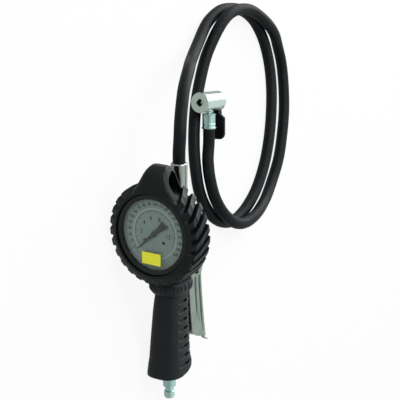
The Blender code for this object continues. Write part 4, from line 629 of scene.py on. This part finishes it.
def add_pressed_line(bm, front_share, back_share, top, bottom, proud):
    """A strip down both flanges of the lever, which narrows towards its lower end."""
    middle = (front_share + back_share) / 2
    lifts = (LINE_PROUD, proud, LINE_PROUD)
    for side in (-1, 1):
        rows, under = [], []
        for k in range(LINE_STEPS + 1):
            height = top + (bottom - top) * k / LINE_STEPS
            width = 1.0 - smooth_step((k - LINE_STEPS + TAPER_STEPS) / TAPER_STEPS) * TAPER_SHARE
            shares = [middle + (share - middle) * width for share in (front_share, middle, back_share)]
            rows.append([flange_point(side, share, height, lift) for share, lift in zip(shares, lifts)])
            under.append([flange_point(side, share, height, -LINE_SUNK) for share in shares])
        add_sheet(bm, rows, under)


def make_lever_pressings():
    """The raised bead pressed into the lever's flanges, and beside it two dark strips of painted shade."""
    painted_shade_strips = bmesh.new()
    for line in PAINTED_SHADE_LINES:
        add_pressed_line(painted_shade_strips, *line, LINE_PROUD)
    add_piece("lever_painted_shade_lines", painted_shade_strips, "lever_painted_shade", body="trigger")
    bead = bmesh.new()
    add_pressed_line(bead, *PRESSED_BEAD, BEAD_PROUD)
    add_piece("lever_bead", bead, "lever_steel", body="trigger")


make_lever_pressings()

# ---------------------------------------------------------------- hose ferrule

FERRULE_LOW, FERRULE_TOP = 34.3, 65.3   # heights in the tool's frame, in millimetres
FERRULE_OUTER, FERRULE_INNER = 8.7, 3.7
FERRULE_Y = 48.5
FERRULE_SIDES = 72
# Height, how much narrower the sleeve is there, and how much of the crimps' depth it has
FERRULE_LEVELS = [(FERRULE_LOW, 2.2, 0.0), (FERRULE_LOW + 2.6, 0.0, 0.0), (FERRULE_LOW + 4.0, 0.0, 0.0),
                  (FERRULE_LOW + 5.6, 0.0, 1.0), (FERRULE_TOP - 3.4, 0.0, 1.0), (FERRULE_TOP - 2.2, 0.0, 0.0),
                  (FERRULE_TOP - 0.9, 0.0, 0.0), (FERRULE_TOP, 0.9, 0.0)]
CRIMPED_BANDS = (2, 3, 4)           # the bands between those levels that the crimps run through
CRIMPS, CRIMP_FIRST, CRIMP_HALF, CRIMP_DEPTH = 5, 1.0, 6.0, 0.9
CRIMP_RUNOUT, CRIMP_SLOPE = 3.0, 5.0    # degrees beyond the half width, and over which a crimp sets in


def from_crimp(angle):
    """How many degrees an angle round the ferrule is from the middle of the nearest crimp."""
    spacing = 360.0 / CRIMPS
    return abs((angle - CRIMP_FIRST + spacing / 2) % spacing - spacing / 2)


def ferrule_point(radius, angle, height):
    """A point at some degrees round the ferrule's upright axis."""
    turn = math.radians(angle)
    return Vector((radius * math.cos(turn), FERRULE_Y + radius * math.sin(turn), height)) * MM


def make_ferrule():
    """The crimped sleeve over the hose's end, with pressed channels round it whose floors carry painted
    shade.
    """
    bm = bmesh.new()
    angles = [360.0 * k / FERRULE_SIDES for k in range(FERRULE_SIDES)]
    rows = []
    for height, taper, pressed in FERRULE_LEVELS:
        row = []
        for angle in angles:
            edge = (CRIMP_HALF + CRIMP_RUNOUT - from_crimp(angle)) / CRIMP_SLOPE
            radius = FERRULE_OUTER - taper - CRIMP_DEPTH * pressed * smooth_step(edge)
            row.append(bm.verts.new(ferrule_point(radius, angle, height)))
        rows.append(row)
    for height in (FERRULE_TOP, FERRULE_LOW):
        rows.append([bm.verts.new(ferrule_point(FERRULE_INNER, angle, height)) for angle in angles])
    for i, near in enumerate(rows):
        far = rows[(i + 1) % len(rows)]
        for k, angle in enumerate(angles):
            j = (k + 1) % FERRULE_SIDES
            face = bm.faces.new((near[k], near[j], far[j], far[k]))
            # Faces inside the crimp channels take the second, dark material, which paints the shade in them
            crimped = i in CRIMPED_BANDS and from_crimp(angle + 180.0 / FERRULE_SIDES) < CRIMP_HALF
            face.material_index = 1 if crimped else 0
    sleeve = add_piece("crimped_ferrule", bm, "nickel", angle=50.0)
    sleeve.data.materials.append(MATERIALS["crimp_painted_shade"])
    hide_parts("hose_ferrule")


make_ferrule()

# ---------------------------------------------------------------- light and floor

LIGHT_AIM = (0.05, 0.1, 0.02)       # metres in the tool's frame
FLOOR_HALF_SIZE = 4.0
FLOOR_GLOW = 0.9                    # share of the floor's white that shows whatever the light
FLOOR_MIRRORED = 0.55               # how bright that white is as the object mirrors it
ROOM_WHITE = (0.35, 0.9, 0.25)      # the way to the bright side of the room, in the tool's frame
ROOM_DARK = 0.45                    # brightness of the other side in a mirror
ROOM_LIGHT = 0.5                    # brightness of the room as a lamp
WHITE = (1.0, 1.0, 1.0, 1.0)


def make_light(name, place, size, watts):
    """An area light placed and aimed in the photo's upright frame, in metres."""
    data = bpy.data.lights.new(name, "AREA")
    data.shape = "RECTANGLE"
    data.size, data.size_y = size
    data.energy = watts
    light = bpy.data.objects.new(name, data)
    bpy.context.collection.objects.link(light)
    spot = TOOL @ Vector(place)
    turn = (spot - TOOL @ Vector(LIGHT_AIM)).to_track_quat("Z", "Y")
    light.matrix_world = Matrix.Translation(spot) @ turn.to_matrix().to_4x4()


def make_floor():
    """A white floor that takes the object's shadow."""
    bm = bmesh.new()
    bmesh.ops.create_grid(bm, x_segments=1, y_segments=1, size=FLOOR_HALF_SIZE)
    mesh = bpy.data.meshes.new("floor")
    bm.to_mesh(mesh)
    bm.free()
    floor = bpy.data.objects.new("floor", mesh)
    bpy.context.collection.objects.link(floor)
    material = bpy.data.materials.new("floor")
    material.use_nodes = True
    tree = material.node_tree
    n = Nodes(tree)
    shader = tree.nodes["Principled BSDF"]
    shader.inputs["Base Color"].default_value = (0.82, 0.82, 0.82, 1.0)
    shader.inputs["Roughness"].default_value = 0.9
    shader.inputs["Specular IOR Level"].default_value = 0.0
    path = n.add("ShaderNodeLightPath").outputs
    seen = n.add("ShaderNodeMath", {0: path["Is Camera Ray"], 1: path["Is Glossy Ray"]},
                 operation="MAXIMUM").outputs[0]
    seen = n.add("ShaderNodeMath", {0: seen, 1: path["Is Transmission Ray"]}, operation="MAXIMUM").outputs[0]
    share = n.add("ShaderNodeMath", {0: seen, 1: FLOOR_GLOW}, operation="MULTIPLY").outputs[0]
    # Mirrored in the object, the floor is dimmer than the camera sees it
    strength = n.add("ShaderNodeMapRange", {"Value": path["Is Glossy Ray"], "To Min": 1.0,
                                            "To Max": FLOOR_MIRRORED}).outputs["Result"]
    white = n.add("ShaderNodeEmission", {"Color": WHITE, "Strength": strength}).outputs[0]
    mix = n.add("ShaderNodeMixShader", {0: share, 1: shader.outputs[0], 2: white})
    n.link(mix.outputs[0], tree.nodes["Material Output"].inputs["Surface"])
    mesh.materials.append(material)


def make_world():
    """A white surround, lighter behind the object than in front of it where the object mirrors it."""
    world = bpy.data.worlds.new("studio")
    bpy.context.scene.world = world
    world.use_nodes = True
    tree = world.node_tree
    n = Nodes(tree)
    path = n.add("ShaderNodeLightPath").outputs
    way = n.add("ShaderNodeTexCoord").outputs["Generated"]
    behind = tuple(TOOL.to_3x3() @ Vector(ROOM_WHITE).normalized())
    facing = n.add("ShaderNodeVectorMath", {0: way, 1: behind}, operation="DOT_PRODUCT").outputs["Value"]
    room = n.add("ShaderNodeMapRange", {"Value": facing, "From Min": -0.6, "From Max": 0.3,
                                        "To Min": ROOM_DARK, "To Max": 1.0}).outputs["Result"]
    mirrored = n.add("ShaderNodeMath", {0: path["Is Glossy Ray"], 1: room}, operation="MULTIPLY").outputs[0]
    seen = n.add("ShaderNodeMath", {0: path["Is Camera Ray"], 1: path["Is Transmission Ray"]},
                 operation="MAXIMUM").outputs[0]
    seen = n.add("ShaderNodeMath", {0: seen, 1: mirrored}, operation="MAXIMUM").outputs[0]
    lit = n.add("ShaderNodeMath", {0: seen, 1: ROOM_LIGHT}, operation="MAXIMUM").outputs[0]
    ground = tree.nodes["Background"]
    ground.inputs["Color"].default_value = WHITE
    n.link(lit, ground.inputs["Strength"])


make_floor()
make_world()
make_light("key", (1.2, 0.0, 0.9), (0.7, 0.9), 13.0)
make_light("fill", (-0.4, -1.1, 0.9), (0.8, 0.8), 2.5)
make_light("back", (0.3, 1.35, 0.85), (1.3, 1.2), 15.0)

bpy.context.scene.view_settings.view_transform = "Standard"
